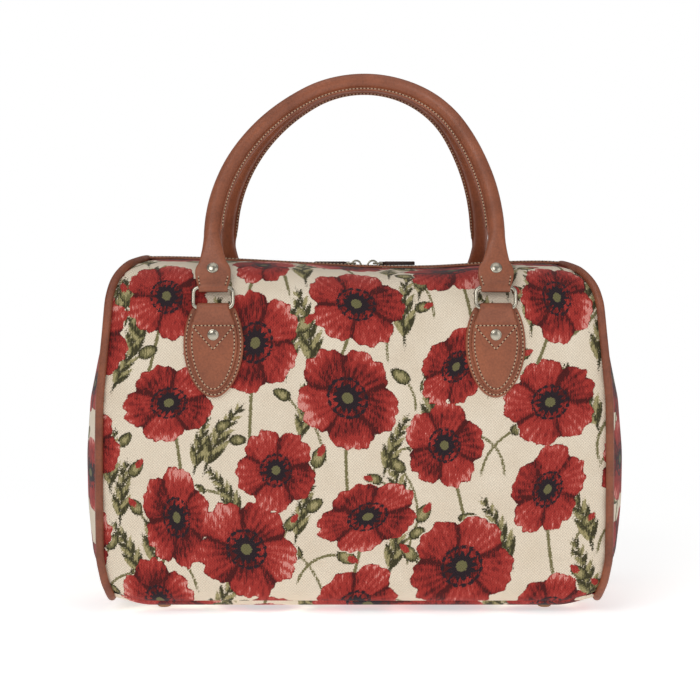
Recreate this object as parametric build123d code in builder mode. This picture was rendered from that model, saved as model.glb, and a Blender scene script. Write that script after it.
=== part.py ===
from build123d import *
from math import asin, atan2, cos, degrees, radians, sin, sqrt
import os

# A zip-top carpet bag: tapestry body with domed end gussets, leather piping and rolled handles.
# X runs along the zip, +Y points to the back, Z is up and the feet stand on Z = 0. Sizes in mm.

# Cloth body
cloth = 2.0  # tapestry with its interlining
lining_cloth = 0.8
lining_end_slack = 22.0  # the lining hangs short of the gussets
lining_slack = 6.0  # the lining hangs loose inside walls and shoulders
base_height = 5.0  # underside of the base panel
base_depth = 95.0  # half the depth at the base
base_radius = 14.0
wall_bulge = 3.0  # how far front and back belly out
shoulder_taper = 2.0  # half the depth lost from the base to the shoulder corner
shoulder_drop = 11.5  # from the zip strip down to the shoulder corner
shoulder_radius = 36.0
crown_bulge = 2.0  # rise of the sloping top over its chord
deck_half_width = 10.0  # flat strip under the zip
deck_height = 275.5
crease_height = 19.0  # seam between the base and the walls

shoulder_depth = base_depth - shoulder_taper
shoulder_height = deck_height - shoulder_drop

# End gussets: bowed from front to back, leaning in towards the top
gusset_reach = 219.0  # half the length of the bag over the gussets
gusset_bow = 200.0  # radius of the bow from front to back
gusset_bow_crest = 4.5  # crest of the bow that the side line flattens
gusset_upper_lean = 6.0  # degrees
gusset_upper_drop = 110.5  # the lean starts this far below the zip strip
gusset_shoulder_inset = 16.5  # insets are from the widest place, seen from the front
gusset_shoulder_drop = 39.5
gusset_top_inset = 38.0
gusset_roll_bulge = 6.8  # roundness of the top edge over its chord
gusset_side_bulge = 19.0  # roundness between shoulder and base
gusset_bottom_inset = 23.0

gusset_top_reach = gusset_reach - gusset_top_inset
gusset_bottom_reach = gusset_reach - gusset_bottom_inset
gusset_shoulder_height = deck_height - gusset_shoulder_drop
gusset_upper_pivot = deck_height - gusset_upper_drop

# Piping round the gusset seams
piping = 3.0  # radius of the covered cord

# Base board and feet
board = 3.0
board_play = 3.2  # between the board and the lining
board_side_slack = 15.0  # the board is narrower than the base
foot_inset = 17.0  # from the ends of the board
foot_side_inset = 18.0  # from the sides of the board
foot_top_radius = 6.5
foot_bottom_radius = 5.2
foot_facets = 10

# Zip
slot_half_width = 7.0  # from the middle of the zip to the cloth edge
binding = 1.4
binding_width = 11.0
zip_end_slack = 9.0  # the zip stops short of the end seams
tape = 0.8
tape_inner = 1.2
tape_seam = 2.4  # part of the tape sewn under the cloth
chain_inner = 0.8
chain_outer = 3.2
chain_height = 1.6

# Sliders and pulls
slider_meet = 8.7  # where the two sliders come together along the zip
slider_length = 13.4
slider_gap = 0.6  # between the two noses
slider_half_width = 4.7
slider_nose_half_width = 3.0
slider_plate = 1.2
slider_play = 0.4  # clearance round chain and tape
slider_lip = 1.0
slider_post = 3.0
slider_post_half_width = 0.5
crown_length = 10.0
crown_facets = 12
crown_width = 2.4
crown_bar = 1.6
loop_bar = 1.5
loop_width = 8.4
loop_window = 5.0
loop_window_length = 5.4
pull_length = 27.0
pull_width = 9.0
pull_thickness = 2.8
pull_neck = 4.4
pull_corner = 2.5

# Rings, chapes and backing patches
ring_spacing = 220.0
ring_wire = 1.6  # radius of the wire
ring_inner_width = 27.6
ring_bar_spacing = 16.0
ring_corner = 2.6
wire_facets = 6
ring_bend_steps = 2
ring_lean = 12.0  # degrees towards the bag at rest
ring_bar_drop = 24.0  # from the shoulder corner
ring_play = 0.35  # between wire and leather
leather = 1.8
fold_facets = 10  # flats round the leather folds
patch_half_width = 23.5
patch_half_height = 41.0
patch_middle_drop = 29.0  # from the ring bar, where the patch is cut off
oval_facets = 12
tongue_leather = 2.4
tongue_border = 4.5  # patch that shows round the tongue
neck_width = 25.0
neck_drop = 13.0  # from the ring bar to where the neck meets the tongue
chape_rivet_drop = 21.0
rivet_shank = 1.5
rivet_head_radius = 4.2
rivet_head_height = 1.8
rivet_rim = 0.5
rivet_facets = 7
rivet_crown_share = 0.62  # flat of the cap over its radius
rivet_play = 0.1  # the pin ends just clear of the tapestry

# Rolled handles
handle_radius = 6.5
handle_gap = 0.6  # between the two handles where they lean together
handle_rise = 196.5  # along the lean, ring bar to the middle of the grip
leg_rise = 50.0
arch_half_span = 113.0
arch_top_radius = 89.0
arch_shift = 8.5  # the soft handles lean to the right as they stand
handle_facets = 10
handle_segments = 14
lip_height = 2.8  # sewn seam that runs along the inside of the arch
lip_width = 2.6
tab_leather = 4.4
tab_fold_width = 23.0
tab_widest = 28.0
tab_widest_rise = 12.0
tab_waist = 21.0
tab_waist_leather = 6.4
tab_waist_rise = 23.0
tab_corner = 0.9
tab_rivet_rise = 16.5
tab_rivet_head_radius = 4.6

overrun = 60.0  # how far cutting shapes run past what they cut
STANDING = (Align.CENTER, Align.CENTER, Align.MIN)
FRONTWARD = (Align.CENTER, Align.MAX, Align.MIN)


# Body forms shared by every cloth piece
def wrap_form(grow):
    """The cross-section of the bag, grown by a distance and run past both ends."""
    reach = gusset_reach + overrun
    wall_middle = (base_depth + shoulder_depth) / 2 + wall_bulge
    wall_middle_height = (base_height + shoulder_height) / 2
    crown_middle = (shoulder_depth + deck_half_width) / 2
    crown_middle_height = (shoulder_height + deck_height) / 2 + crown_bulge
    with BuildPart() as form:
        with BuildSketch(Plane.YZ.offset(-reach)) as section:
            with BuildLine():
                Line((-base_depth, base_height), (base_depth, base_height))
                for side in (-1, 1):
                    ThreePointArc(
                        (side * base_depth, base_height),
                        (side * wall_middle, wall_middle_height),
                        (side * shoulder_depth, shoulder_height),
                    )
                    ThreePointArc(
                        (side * shoulder_depth, shoulder_height),
                        (side * crown_middle, crown_middle_height),
                        (side * deck_half_width, deck_height),
                    )
                Line((-deck_half_width, deck_height), (deck_half_width, deck_height))
            make_face()
            fillet(section.vertices().group_by(Axis.Y)[0], radius=base_radius)
            fillet(section.vertices().group_by(Axis.Y)[-2], radius=shoulder_radius)
            if grow:
                offset(amount=grow, kind=Kind.ARC)
        extrude(amount=2 * reach)
    return form.part


def end_form(grow):
    """Everything inside the right gusset, grown by a distance."""
    bow_middle = gusset_reach + gusset_bow_crest - gusset_bow
    with BuildPart() as form:
        with BuildSketch(Plane.XZ.offset(-base_depth - overrun)) as side_view:
            with BuildLine():
                top = (gusset_top_reach, deck_height)
                shoulder = (gusset_reach - gusset_shoulder_inset, gusset_shoulder_height)
                bottom = (gusset_bottom_reach, base_height)
                SagittaArc(top, shoulder, gusset_roll_bulge)
                SagittaArc(shoulder, bottom, gusset_side_bulge)
                above = deck_height + overrun
                Polyline(bottom, (gusset_bottom_reach - overrun, -overrun), (-overrun, -overrun),
                         (-overrun, above), (gusset_top_reach - overrun, above), top)
            make_face()
            if grow:
                offset(amount=grow, kind=Kind.INTERSECTION)
        extrude(amount=2 * (base_depth + overrun))
        for angle in (0, gusset_upper_lean):
            with Locations(Location((bow_middle, 0, gusset_upper_pivot), (0, -angle, 0))):
                Cylinder(gusset_bow + grow, 4 * deck_height, mode=Mode.INTERSECT)
    return form.part


def half_body(wrap_grow, end_grow):
    """The right half of the bag as one lump."""
    with BuildPart() as lump:
        add(wrap_form(wrap_grow))
        add(end_form(end_grow), mode=Mode.INTERSECT)
        split(bisect_by=Plane.YZ, keep=Keep.TOP)
    return lump.part


def whole_body(wrap_grow, end_grow):
    """The bag as one lump with both ends."""
    with BuildPart() as lump:
        add(half_body(wrap_grow, end_grow))
        mirror(about=Plane.YZ)
    return lump.part


def corners(radius, count, height):
    """Corners of a regular outline at a height."""
    turns = [radians(360 * step / count) for step in range(count)]
    return [Vector(radius * cos(turn), radius * sin(turn), height) for turn in turns]


def flat_sided(low, high):
    """A solid with flat sides between two outlines of matching corners."""
    sides = [
        Face(Wire.make_polygon((low[corner - 1], low[corner], high[corner], high[corner - 1])))
        for corner in range(len(low))
    ]
    return Solid(Shell([Face(Wire.make_polygon(low)), Face(Wire.make_polygon(high)), *sides]))


def finish(piece, name):
    """Label a piece and write it."""
    piece.label = name
    export_step(piece, f"parts/{name}.step")


os.makedirs("parts", exist_ok=True)
body_top = deck_height + overrun
body_half_width = base_depth + overrun
body_half_length = gusset_reach + overrun

# Tapestry wrap, open along the zip, cut into front, back and base at the crease
with BuildPart() as wrap:
    add(whole_body(0, -piping))
    add(wrap_form(-cloth), mode=Mode.SUBTRACT)

with BuildPart() as front_panel:
    add(wrap.part)
    with Locations((0, -slot_half_width, crease_height)):
        Box(2 * body_half_length, body_half_width, body_top, align=FRONTWARD, mode=Mode.INTERSECT)
finish(front_panel.part, "front_panel")

with BuildPart() as back_panel:
    mirror(front_panel.part, about=Plane.XZ)
finish(back_panel.part, "back_panel")

with BuildPart() as base_panel:
    add(wrap.part)
    Box(2 * body_half_length, 2 * body_half_width, crease_height, align=STANDING, mode=Mode.INTERSECT)
finish(base_panel.part, "base_panel")

# Domed tapestry ends inside the wrap
with BuildPart() as gussets:
    add(half_body(-piping, 0))
    add(end_form(-cloth), mode=Mode.SUBTRACT)
    mirror(about=Plane.YZ)
finish(gussets.part, "gussets")

# Piping: a bead between the wrap and each gusset
with BuildPart() as pipings:
    add(half_body(piping, piping))
    add(wrap_form(-piping), mode=Mode.SUBTRACT)
    add(end_form(-piping), mode=Mode.SUBTRACT)
    mirror(about=Plane.YZ)
finish(pipings.part, "pipings")

# Lining: a flat-sided bag that hangs from the zip tapes and lies on the base
lining_half_length = gusset_bottom_reach - lining_end_slack
mouth_half_width = slot_half_width + tape_seam
lining_top = deck_height - cloth
lining_floor = base_height + cloth
lining_profile = (
    (mouth_half_width, lining_top),
    (shoulder_depth - shoulder_radius, shoulder_height - lining_slack),
    (shoulder_depth - lining_slack, shoulder_height - shoulder_radius),
    (base_depth - lining_slack, base_height + base_radius),
    (base_depth - base_radius, lining_floor),
)
with BuildPart() as lining:
    with BuildSketch(Plane.YZ.offset(-lining_half_length)) as lining_section:
        with BuildLine():
            mirrored = [(-y, z) for y, z in reversed(lining_profile)]
            Polyline(*lining_profile, *mirrored, close=True)
        make_face()
    extrude(amount=2 * lining_half_length)
    with BuildSketch(Plane.YZ.offset(lining_cloth - lining_half_length)):
        add(lining_section.sketch_local)
        offset(amount=-lining_cloth, kind=Kind.INTERSECTION)
    extrude(amount=2 * (lining_half_length - lining_cloth), mode=Mode.SUBTRACT)
    with Locations((0, 0, shoulder_height)):
        Box(2 * (lining_half_length - lining_cloth), 2 * mouth_half_width, overrun, align=STANDING,
            mode=Mode.SUBTRACT)
finish(lining.part, "lining")

# Stiff board on the floor of the bag, and feet under it
board_half_length = lining_half_length - lining_cloth - board_play
board_half_width = base_depth - board_side_slack
foot_spacing = 2 * (board_half_length - foot_inset)
foot_gauge = 2 * (board_half_width - foot_side_inset)
with BuildPart() as base_board:
    with Locations((0, 0, lining_floor + lining_cloth)):
        Box(2 * board_half_length, 2 * board_half_width, board, align=STANDING)
finish(base_board.part, "base_board")

with BuildPart() as feet:
    with GridLocations(foot_spacing, foot_gauge, 2, 2):
        add(flat_sided(
            corners(foot_bottom_radius, foot_facets, 0),
            corners(foot_top_radius, foot_facets, base_height),
        ))
finish(feet.part, "feet")

# Leather binding along each edge of the zip opening
with BuildPart() as front_zip_binding:
    add(wrap_form(binding))
    add(wrap_form(0), mode=Mode.SUBTRACT)
    add(whole_body(overrun, -piping), mode=Mode.INTERSECT)
    with Locations((0, -slot_half_width, shoulder_height)):
        Box(2 * body_half_length, binding_width, overrun, align=FRONTWARD, mode=Mode.INTERSECT)
finish(front_zip_binding.part, "front_zip_binding")

with BuildPart() as back_zip_binding:
    mirror(front_zip_binding.part, about=Plane.XZ)
finish(back_zip_binding.part, "back_zip_binding")

# Zip tapes under the cloth edges, each with its chain
tape_top = deck_height - cloth
zip_half_length = gusset_top_reach - zip_end_slack
with BuildPart() as front_zip_tape:
    with Locations((0, -tape_inner, tape_top - tape)):
        Box(2 * zip_half_length, mouth_half_width - tape_inner, tape, align=FRONTWARD)
finish(front_zip_tape.part, "front_zip_tape")

with BuildPart() as back_zip_tape:
    mirror(front_zip_tape.part, about=Plane.XZ)
finish(back_zip_tape.part, "back_zip_tape")

with BuildPart() as front_zip_chain:
    with Locations((0, -chain_inner, tape_top)):
        Box(2 * zip_half_length, chain_outer - chain_inner, chain_height, align=FRONTWARD)
finish(front_zip_chain.part, "front_zip_chain")

with BuildPart() as back_zip_chain:
    mirror(front_zip_chain.part, about=Plane.XZ)
finish(back_zip_chain.part, "back_zip_chain")

# Sliders: two plates on a post, lips down the sides, and an arched crown for the pull
chain_top = tape_top + chain_height
slider_floor = tape_top - tape - slider_play - slider_plate
slider_top = chain_top + slider_play + slider_plate
slider_middle = slider_meet + slider_gap / 2 + slider_length / 2
pull_axis_x = slider_middle + loop_bar / 2
pull_axis_z = slider_top + slider_play + pull_thickness / 2
mirror_plane = Plane.YZ.offset(slider_meet)

with BuildSketch() as slider_outline:
    with BuildLine():
        Polyline(
            (-slider_length / 2, -slider_nose_half_width),
            (0, -slider_half_width),
            (slider_length / 2, -slider_half_width),
            (slider_length / 2, slider_half_width),
            (0, slider_half_width),
            (-slider_length / 2, slider_nose_half_width),
            close=True,
        )
    make_face()

with BuildPart() as right_slider:
    for level in (slider_floor, slider_top - slider_plate):
        with BuildSketch(Plane((slider_middle, 0, level))):
            add(slider_outline.sketch)
        extrude(amount=slider_plate)
    with Locations((slider_middle - slider_length / 2, 0, slider_floor)):
        Box(slider_post, 2 * slider_post_half_width, slider_top - slider_floor,
            align=(Align.MIN, Align.CENTER, Align.MIN))
    for side in (-1, 1):
        lip_y = side * (slider_half_width - slider_lip / 2)
        with Locations((slider_middle, lip_y, slider_top - slider_plate)):
            Box(slider_length / 2, slider_lip, chain_height / 2, align=(Align.MIN, Align.CENTER, Align.MAX))
    with BuildSketch(Plane.XZ.offset(-crown_width / 2)):
        with Locations((slider_middle, slider_top)):
            RegularPolygon(crown_length / 2, crown_facets, rotation=180 / crown_facets)
            RegularPolygon(crown_length / 2 - crown_bar, crown_facets, rotation=180 / crown_facets,
                           mode=Mode.SUBTRACT)
            Rectangle(crown_length, crown_length, align=(Align.CENTER, Align.MAX), mode=Mode.SUBTRACT)
    extrude(amount=crown_width)
finish(right_slider.part, "right_slider")

with BuildPart() as left_slider:
    mirror(right_slider.part, about=mirror_plane)
finish(left_slider.part, "left_slider")

# Pull loop: a stamped eye with a round bar through the crown
loop_length = loop_window_length + 2 * loop_bar
with BuildPart() as right_pull_loop:
    with BuildSketch(Plane((pull_axis_x, 0, pull_axis_z - loop_bar / 2))):
        Rectangle(loop_length - loop_bar / 2, loop_width, align=(Align.MIN, Align.CENTER))
        with Locations((loop_bar / 2, 0)):
            Rectangle(loop_window_length, loop_window, align=(Align.MIN, Align.CENTER), mode=Mode.SUBTRACT)
    extrude(amount=loop_bar)
    with Locations(Location((pull_axis_x, 0, pull_axis_z), (90, 0, 0))):
        Cylinder(loop_bar / 2, loop_width)
finish(right_pull_loop.part, "right_pull_loop")

with BuildPart() as left_pull_loop:
    mirror(right_pull_loop.part, about=mirror_plane)
finish(left_pull_loop.part, "left_pull_loop")

# Pull tab: leather folded round the outer bar of the loop
loop_end = pull_axis_x - loop_bar / 2 + loop_length
neck_start = loop_end - 2 * loop_bar
with BuildSketch() as pull_outline:
    Rectangle(pull_length, pull_width)
    chamfer(pull_outline.vertices(), pull_corner)

with BuildPart() as right_pull_tab:
    with BuildSketch(Plane((0, 0, pull_axis_z - pull_thickness / 2))):
        with Locations((neck_start, 0)):
            Rectangle(3 * loop_bar, pull_neck, align=(Align.MIN, Align.CENTER))
        with Locations((loop_end + pull_length / 2, 0)):
            add(pull_outline.sketch)
    extrude(amount=pull_thickness)
    add(right_pull_loop.part, mode=Mode.SUBTRACT)
finish(right_pull_tab.part, "right_pull_tab")

with BuildPart() as left_pull_tab:
    mirror(right_pull_tab.part, about=mirror_plane)
finish(left_pull_tab.part, "left_pull_tab")

# Places of the rings and handles on the front
def wall_depth(z):
    """Half the depth of the bag at a height on its bellied wall."""
    share = (z - base_height) / (shoulder_height - base_height)
    return base_depth + (shoulder_depth - base_depth) * share + 4 * wall_bulge * share * (1 - share)


fold_radius = ring_wire + ring_play + leather
ring_bar_height = shoulder_height - ring_bar_drop
patch_middle_height = ring_bar_height - patch_middle_drop
ring_bar_y = -(wall_depth(ring_bar_height) + leather + fold_radius)
lean = radians(ring_lean)
grip_bar_y = ring_bar_y + ring_bar_spacing * sin(lean)
grip_bar_height = ring_bar_height + ring_bar_spacing * cos(lean)
handle_lean = asin((-grip_bar_y - handle_radius - handle_gap / 2) / handle_rise)
handle_plane = Plane(
    origin=(0, grip_bar_y, grip_bar_height),
    x_dir=(1, 0, 0),
    z_dir=(0, -cos(handle_lean), sin(handle_lean)),
)
ring_x = ring_spacing / 2
chape_face = leather + tongue_leather
rivet_height = ring_bar_height - chape_rivet_drop


# Rivet: a domed cap on a pin that ends at the tapestry
def rivet(radius, shank):
    """A domed cap that faces up, on a pin."""
    with BuildPart() as whole:
        with BuildSketch():
            RegularPolygon(radius, rivet_facets)
        extrude(amount=rivet_rim)
        add(flat_sided(
            corners(radius, rivet_facets, rivet_rim),
            corners(rivet_crown_share * radius, rivet_facets, rivet_head_height),
        ))
        with BuildSketch():
            RegularPolygon(rivet_shank, rivet_facets)
        extrude(amount=-shank)
    return whole.part


head_y = -(wall_depth(rivet_height) + chape_face)
chape_rivet = rivet(rivet_head_radius, chape_face - rivet_play).moved(
    Location((ring_x, head_y, rivet_height), (90, 0, 0))
)
with BuildPart() as rivet_seat:
    with BuildSketch(Plane.XZ.offset(-head_y)):
        with Locations((ring_x, rivet_height)):
            RegularPolygon(rivet_head_radius, rivet_facets)
    extrude(amount=leather)
    add(chape_rivet)


# Backing patch and folded chape at the right of the front, mirrored to the other three places
def wall_layer(inner, outer):
    """A layer of leather that follows the front of the bag."""
    with BuildPart() as layer:
        add(wrap_form(outer))
        add(wrap_form(inner), mode=Mode.SUBTRACT)
        Box(2 * body_half_length, body_half_width, body_top, align=FRONTWARD, mode=Mode.INTERSECT)
    return layer.part


def oval(half_width, half_height):
    """An oval in short flats."""
    turns = [radians(360 * step / oval_facets) for step in range(oval_facets)]
    with BuildSketch() as outline:
        with BuildLine():
            Polyline(*[(half_width * cos(turn), half_height * sin(turn)) for turn in turns], close=True)
        make_face()
    return outline.sketch


with BuildPart() as patch:
    with BuildSketch(Plane.XZ):
        with Locations((ring_x, patch_middle_height)):
            add(oval(patch_half_width, patch_half_height))
        with Locations((ring_x, ring_bar_height)):
            Rectangle(2 * patch_half_width, patch_half_height, align=(Align.CENTER, Align.MIN),
                      mode=Mode.SUBTRACT)
    extrude(amount=body_half_width)
    add(wall_layer(0, leather), mode=Mode.INTERSECT)
    add(rivet_seat.part, mode=Mode.SUBTRACT)

tongue_half_width = patch_half_width - tongue_border
tongue_half_height = patch_half_height - tongue_border
neck_foot = ring_bar_height - neck_drop
neck_angle = degrees(atan2(neck_drop, tongue_half_width - neck_width / 2))
fold_low_y = -(wall_depth(neck_foot) + leather + tongue_leather / 2)
with BuildPart() as chape:
    with BuildSketch(Plane.XZ):
        with Locations((ring_x, patch_middle_height)):
            add(oval(tongue_half_width, tongue_half_height))
        with Locations((ring_x, neck_foot)):
            Rectangle(2 * tongue_half_width, tongue_half_height, align=(Align.CENTER, Align.MIN),
                      mode=Mode.SUBTRACT)
            Trapezoid(2 * tongue_half_width, neck_drop, neck_angle, align=(Align.CENTER, Align.MIN))
    extrude(amount=body_half_width)
    add(wall_layer(leather, chape_face), mode=Mode.INTERSECT)
    with BuildSketch(Plane.YZ.offset(ring_x - neck_width / 2)):
        with Locations((ring_bar_y, ring_bar_height)):
            RegularPolygon(fold_radius, fold_facets, major_radius=False)
        with Locations((fold_low_y, neck_foot)):
            Rectangle(tongue_leather, tongue_leather)
        make_hull()
    extrude(amount=neck_width)
    add(wrap_form(leather), mode=Mode.SUBTRACT)
    with Locations(Location((ring_x, ring_bar_y, ring_bar_height), (0, 90, 0))):
        Cylinder(ring_wire + ring_play, 2 * neck_width, mode=Mode.SUBTRACT)
    add(rivet_seat.part, mode=Mode.SUBTRACT)

with BuildPart() as front_patches:
    add(patch.part)
    mirror(about=Plane.YZ)
finish(front_patches.part, "front_patches")

with BuildPart() as back_patches:
    mirror(front_patches.part, about=Plane.XZ)
finish(back_patches.part, "back_patches")

with BuildPart() as front_chapes:
    add(chape.part)
    mirror(about=Plane.YZ)
finish(front_chapes.part, "front_chapes")

with BuildPart() as back_chapes:
    mirror(front_chapes.part, about=Plane.XZ)
finish(back_chapes.part, "back_chapes")

# Rivet through each chape
with BuildPart() as chape_rivets:
    add(chape_rivet)
    mirror(about=Plane.YZ)
    mirror(about=Plane.XZ)
finish(chape_rivets.part, "chape_rivets")

# Rings: bent wire, two on each side
half_bar = ring_inner_width / 2 + ring_wire
bend_x = half_bar - ring_corner
bend_y = ring_bar_spacing / 2 - ring_corner
ring_points = [(0, 0)]
for quarter, (side, end) in enumerate(((1, -1), (1, 1), (-1, 1), (-1, -1))):
    for step in range(ring_bend_steps + 1):
        turn = radians(90 * (quarter - 1 + step / ring_bend_steps))
        across = side * bend_x + ring_corner * cos(turn)
        ring_points.append((across, ring_bar_spacing / 2 + end * bend_y + ring_corner * sin(turn)))

with BuildPart() as front_rings:
    for side in (-1, 1):
        bar_middle = (side * ring_x, ring_bar_y, ring_bar_height)
        with BuildLine(Plane(bar_middle, x_dir=(1, 0, 0), z_dir=(0, -cos(lean), sin(lean)))) as bent_wire:
            Polyline(*ring_points, close=True)
        with BuildSketch(Plane(bar_middle, x_dir=(0, 0, 1), z_dir=(1, 0, 0))):
            RegularPolygon(ring_wire, wire_facets)
        sweep(path=bent_wire.wire(), transition=Transition.RIGHT)
finish(front_rings.part, "front_rings")

with BuildPart() as back_rings:
    mirror(front_rings.part, about=Plane.XZ)
finish(back_rings.part, "back_rings")

# Rolled handle: a round grip with a sewn lip along its inside, flattened into a tab round each ring
arch_rise = handle_rise - leg_rise
top_lift = arch_rise - arch_top_radius


def side_arc(span):
    """Radius and turn of the arch's side that runs from a leg to the top arc."""
    radius = (span**2 + top_lift**2 - arch_top_radius**2) / (2 * (span - arch_top_radius))
    return radius, degrees(atan2(top_lift, radius - span))


left_radius, left_turn = side_arc(arch_half_span + arch_shift)
right_radius, right_turn = side_arc(arch_half_span - arch_shift)
roll_corner = 2 * handle_radius / (2 + sqrt(2))
tab_sections = (
    (0, tab_fold_width, tab_leather, tab_corner),
    (tab_widest_rise, tab_widest, tab_leather, tab_corner),
    (tab_waist_rise, tab_waist, tab_waist_leather, (tab_corner + roll_corner) / 2),
    (leg_rise, 2 * handle_radius, 2 * handle_radius, roll_corner),
)
up = handle_plane.y_dir


def leg_point(side, rise):
    """Middle of a leg at a rise above the ring bar."""
    across = ring_x + (arch_half_span - ring_x) * rise / leg_rise
    return handle_plane.from_local_coords((side * across, rise, 0))


def leg_section(side, rise, width, thickness, corner):
    """Corners of a leg's section, from a flat tab to a round roll."""
    plane = Plane(leg_point(side, rise), x_dir=(1, 0, 0), z_dir=up)
    half = width / 2
    deep = thickness / 2
    quarter = ((half, deep - corner), (half - corner, deep))
    outline = [*quarter, *[(-x, y) for x, y in reversed(quarter)]]
    outline += [(-x, -y) for x, y in outline]
    return [plane.from_local_coords((x, y, 0)) for x, y in outline]


def rivet_seats(side):
    """Outer and inner face of a tab where its rivet sits."""
    middle = leg_point(side, tab_rivet_rise)
    outer = Plane(middle, x_dir=(1, 0, 0), z_dir=handle_plane.z_dir)
    inner = Plane(middle, x_dir=(1, 0, 0), z_dir=-handle_plane.z_dir)
    return outer.offset(tab_leather / 2), inner.offset(tab_leather / 2)


with BuildPart() as front_handle:
    with BuildLine(handle_plane) as arch:
        CenterArc((left_radius - arch_half_span, leg_rise), left_radius, 180, -left_turn)
        top_turn = 180 - left_turn - right_turn
        CenterArc((arch_shift, leg_rise + top_lift), arch_top_radius, 180 - left_turn, -top_turn)
        CenterArc((arch_half_span - right_radius, leg_rise), right_radius, right_turn, -right_turn)
    with BuildLine() as grip:
        Polyline(*[arch.wire() @ (step / handle_segments) for step in range(handle_segments + 1)])
    with BuildSketch(Plane(grip.wire() @ 0, x_dir=(1, 0, 0), z_dir=grip.wire() % 0)):
        RegularPolygon(handle_radius, handle_facets)
        Rectangle(handle_radius + lip_height, lip_width, align=(Align.MIN, Align.CENTER))
    sweep(path=grip.wire(), transition=Transition.RIGHT)
    for side in (-1, 1):
        outlines = [leg_section(side, *section) for section in tab_sections]
        for low, high in zip(outlines, outlines[1:]):
            add(flat_sided(low, high))
        with BuildSketch(Plane(leg_point(side, 0), x_dir=up, z_dir=(1, 0, 0)).offset(-tab_fold_width / 2)):
            RegularPolygon(fold_radius, fold_facets, major_radius=False)
        extrude(amount=tab_fold_width)
        with Locations(Location(leg_point(side, 0), (0, 90, 0))):
            Cylinder(ring_wire + ring_play, 2 * tab_fold_width, mode=Mode.SUBTRACT)
        for seat in rivet_seats(side):
            with BuildSketch(seat):
                RegularPolygon(tab_rivet_head_radius, rivet_facets)
            extrude(amount=tab_widest, mode=Mode.SUBTRACT)
            with BuildSketch(seat):
                RegularPolygon(rivet_shank, rivet_facets)
            extrude(amount=-tab_leather, mode=Mode.SUBTRACT)
finish(front_handle.part, "front_handle")

with BuildPart() as back_handle:
    mirror(front_handle.part, about=Plane.XZ)
finish(back_handle.part, "back_handle")

# Rivet through each tab, capped on both faces
with BuildPart() as front_handle_rivets:
    for side in (-1, 1):
        for seat in rivet_seats(side):
            with Locations(seat):
                add(rivet(tab_rivet_head_radius, tab_leather / 2))
finish(front_handle_rivets.part, "front_handle_rivets")

with BuildPart() as back_handle_rivets:
    mirror(front_handle_rivets.part, about=Plane.XZ)
finish(back_handle_rivets.part, "back_handle_rivets")
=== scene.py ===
import math

import bmesh
import bpy
import numpy as np
from mathutils import Matrix, Vector


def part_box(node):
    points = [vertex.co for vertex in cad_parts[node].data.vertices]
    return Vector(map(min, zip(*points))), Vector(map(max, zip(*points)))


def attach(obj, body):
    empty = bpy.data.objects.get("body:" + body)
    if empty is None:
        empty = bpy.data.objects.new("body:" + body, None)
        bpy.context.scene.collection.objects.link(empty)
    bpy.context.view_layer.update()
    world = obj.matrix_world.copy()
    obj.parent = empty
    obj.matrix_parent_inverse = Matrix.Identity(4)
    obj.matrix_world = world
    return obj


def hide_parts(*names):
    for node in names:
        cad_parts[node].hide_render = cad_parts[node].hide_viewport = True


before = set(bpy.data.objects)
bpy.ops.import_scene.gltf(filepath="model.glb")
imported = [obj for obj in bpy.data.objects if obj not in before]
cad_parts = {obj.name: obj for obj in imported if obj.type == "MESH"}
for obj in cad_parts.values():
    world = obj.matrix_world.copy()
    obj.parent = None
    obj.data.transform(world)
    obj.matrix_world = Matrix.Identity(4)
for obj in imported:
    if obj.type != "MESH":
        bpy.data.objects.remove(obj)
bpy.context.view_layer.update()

# Tapestry front and back
# Woven jacquard cloth with a pressed-in interlining, cut in one length from the base seam up
# over the shoulder to the zip and sewn into the piping at both ends. The filled bag bellies it.
HALF_DEPTH = 0.095
BASE_HEIGHT = 0.005
DECK_HEIGHT = 0.2755
WALL = ((-HALF_DEPTH, BASE_HEIGHT), (-0.097, 0.1345), (-0.093, 0.264))
CROWN = (WALL[2], (-0.0515, 0.27175), (-0.010, DECK_HEIGHT))
SHOULDER_RADIUS = 0.036
BASE_RADIUS = 0.014
WALL_FOOT_HEIGHT = 0.019
SLOT_HALF_WIDTH = 0.007
PIPING_RADIUS = 0.003
SEAM_HEIGHTS = (
    BASE_HEIGHT, 0.020, 0.043, 0.090, 0.129, 0.168, 0.206,
    0.2427, 0.2537, 0.2605, 0.2653, 0.2703, DECK_HEIGHT)
SEAM_REACHES = (
    0.1900, 0.1954, 0.1990, 0.1995, 0.1995, 0.1990, 0.1955, 0.1917, 0.1888, 0.1858, 0.1822, 0.1775, 0.1715)
DOME_HEIGHTS = (
    BASE_HEIGHT, 0.024, 0.045, 0.065, 0.085, 0.115, 0.126, 0.167, 0.206, 0.2435, 0.260, DECK_HEIGHT)
DOME_RISES = (
    0.0035, 0.0110, 0.0153, 0.0178, 0.0196, 0.0204, 0.0204, 0.0178, 0.0128, 0.0051, 0.0017, 0.0)
HARDWARE_X = 0.110
HARDWARE_HEIGHT = 0.222
LEFT_RIDE_UP = 0.0063
RIGHT_RIDE_UP = 0.0026
ZIP_DIP = 0.0015
CORNER_LIFT = 0.0075
CLOTH_WIDTH = 0.42
SEAM_TUCK = 0.0022


def ramp(low, high, value):
    """0 below low, 1 above high, with a smooth change between."""
    share = np.clip((value - low) / (high - low), 0, 1)
    return share * share * (3 - 2 * share)


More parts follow.
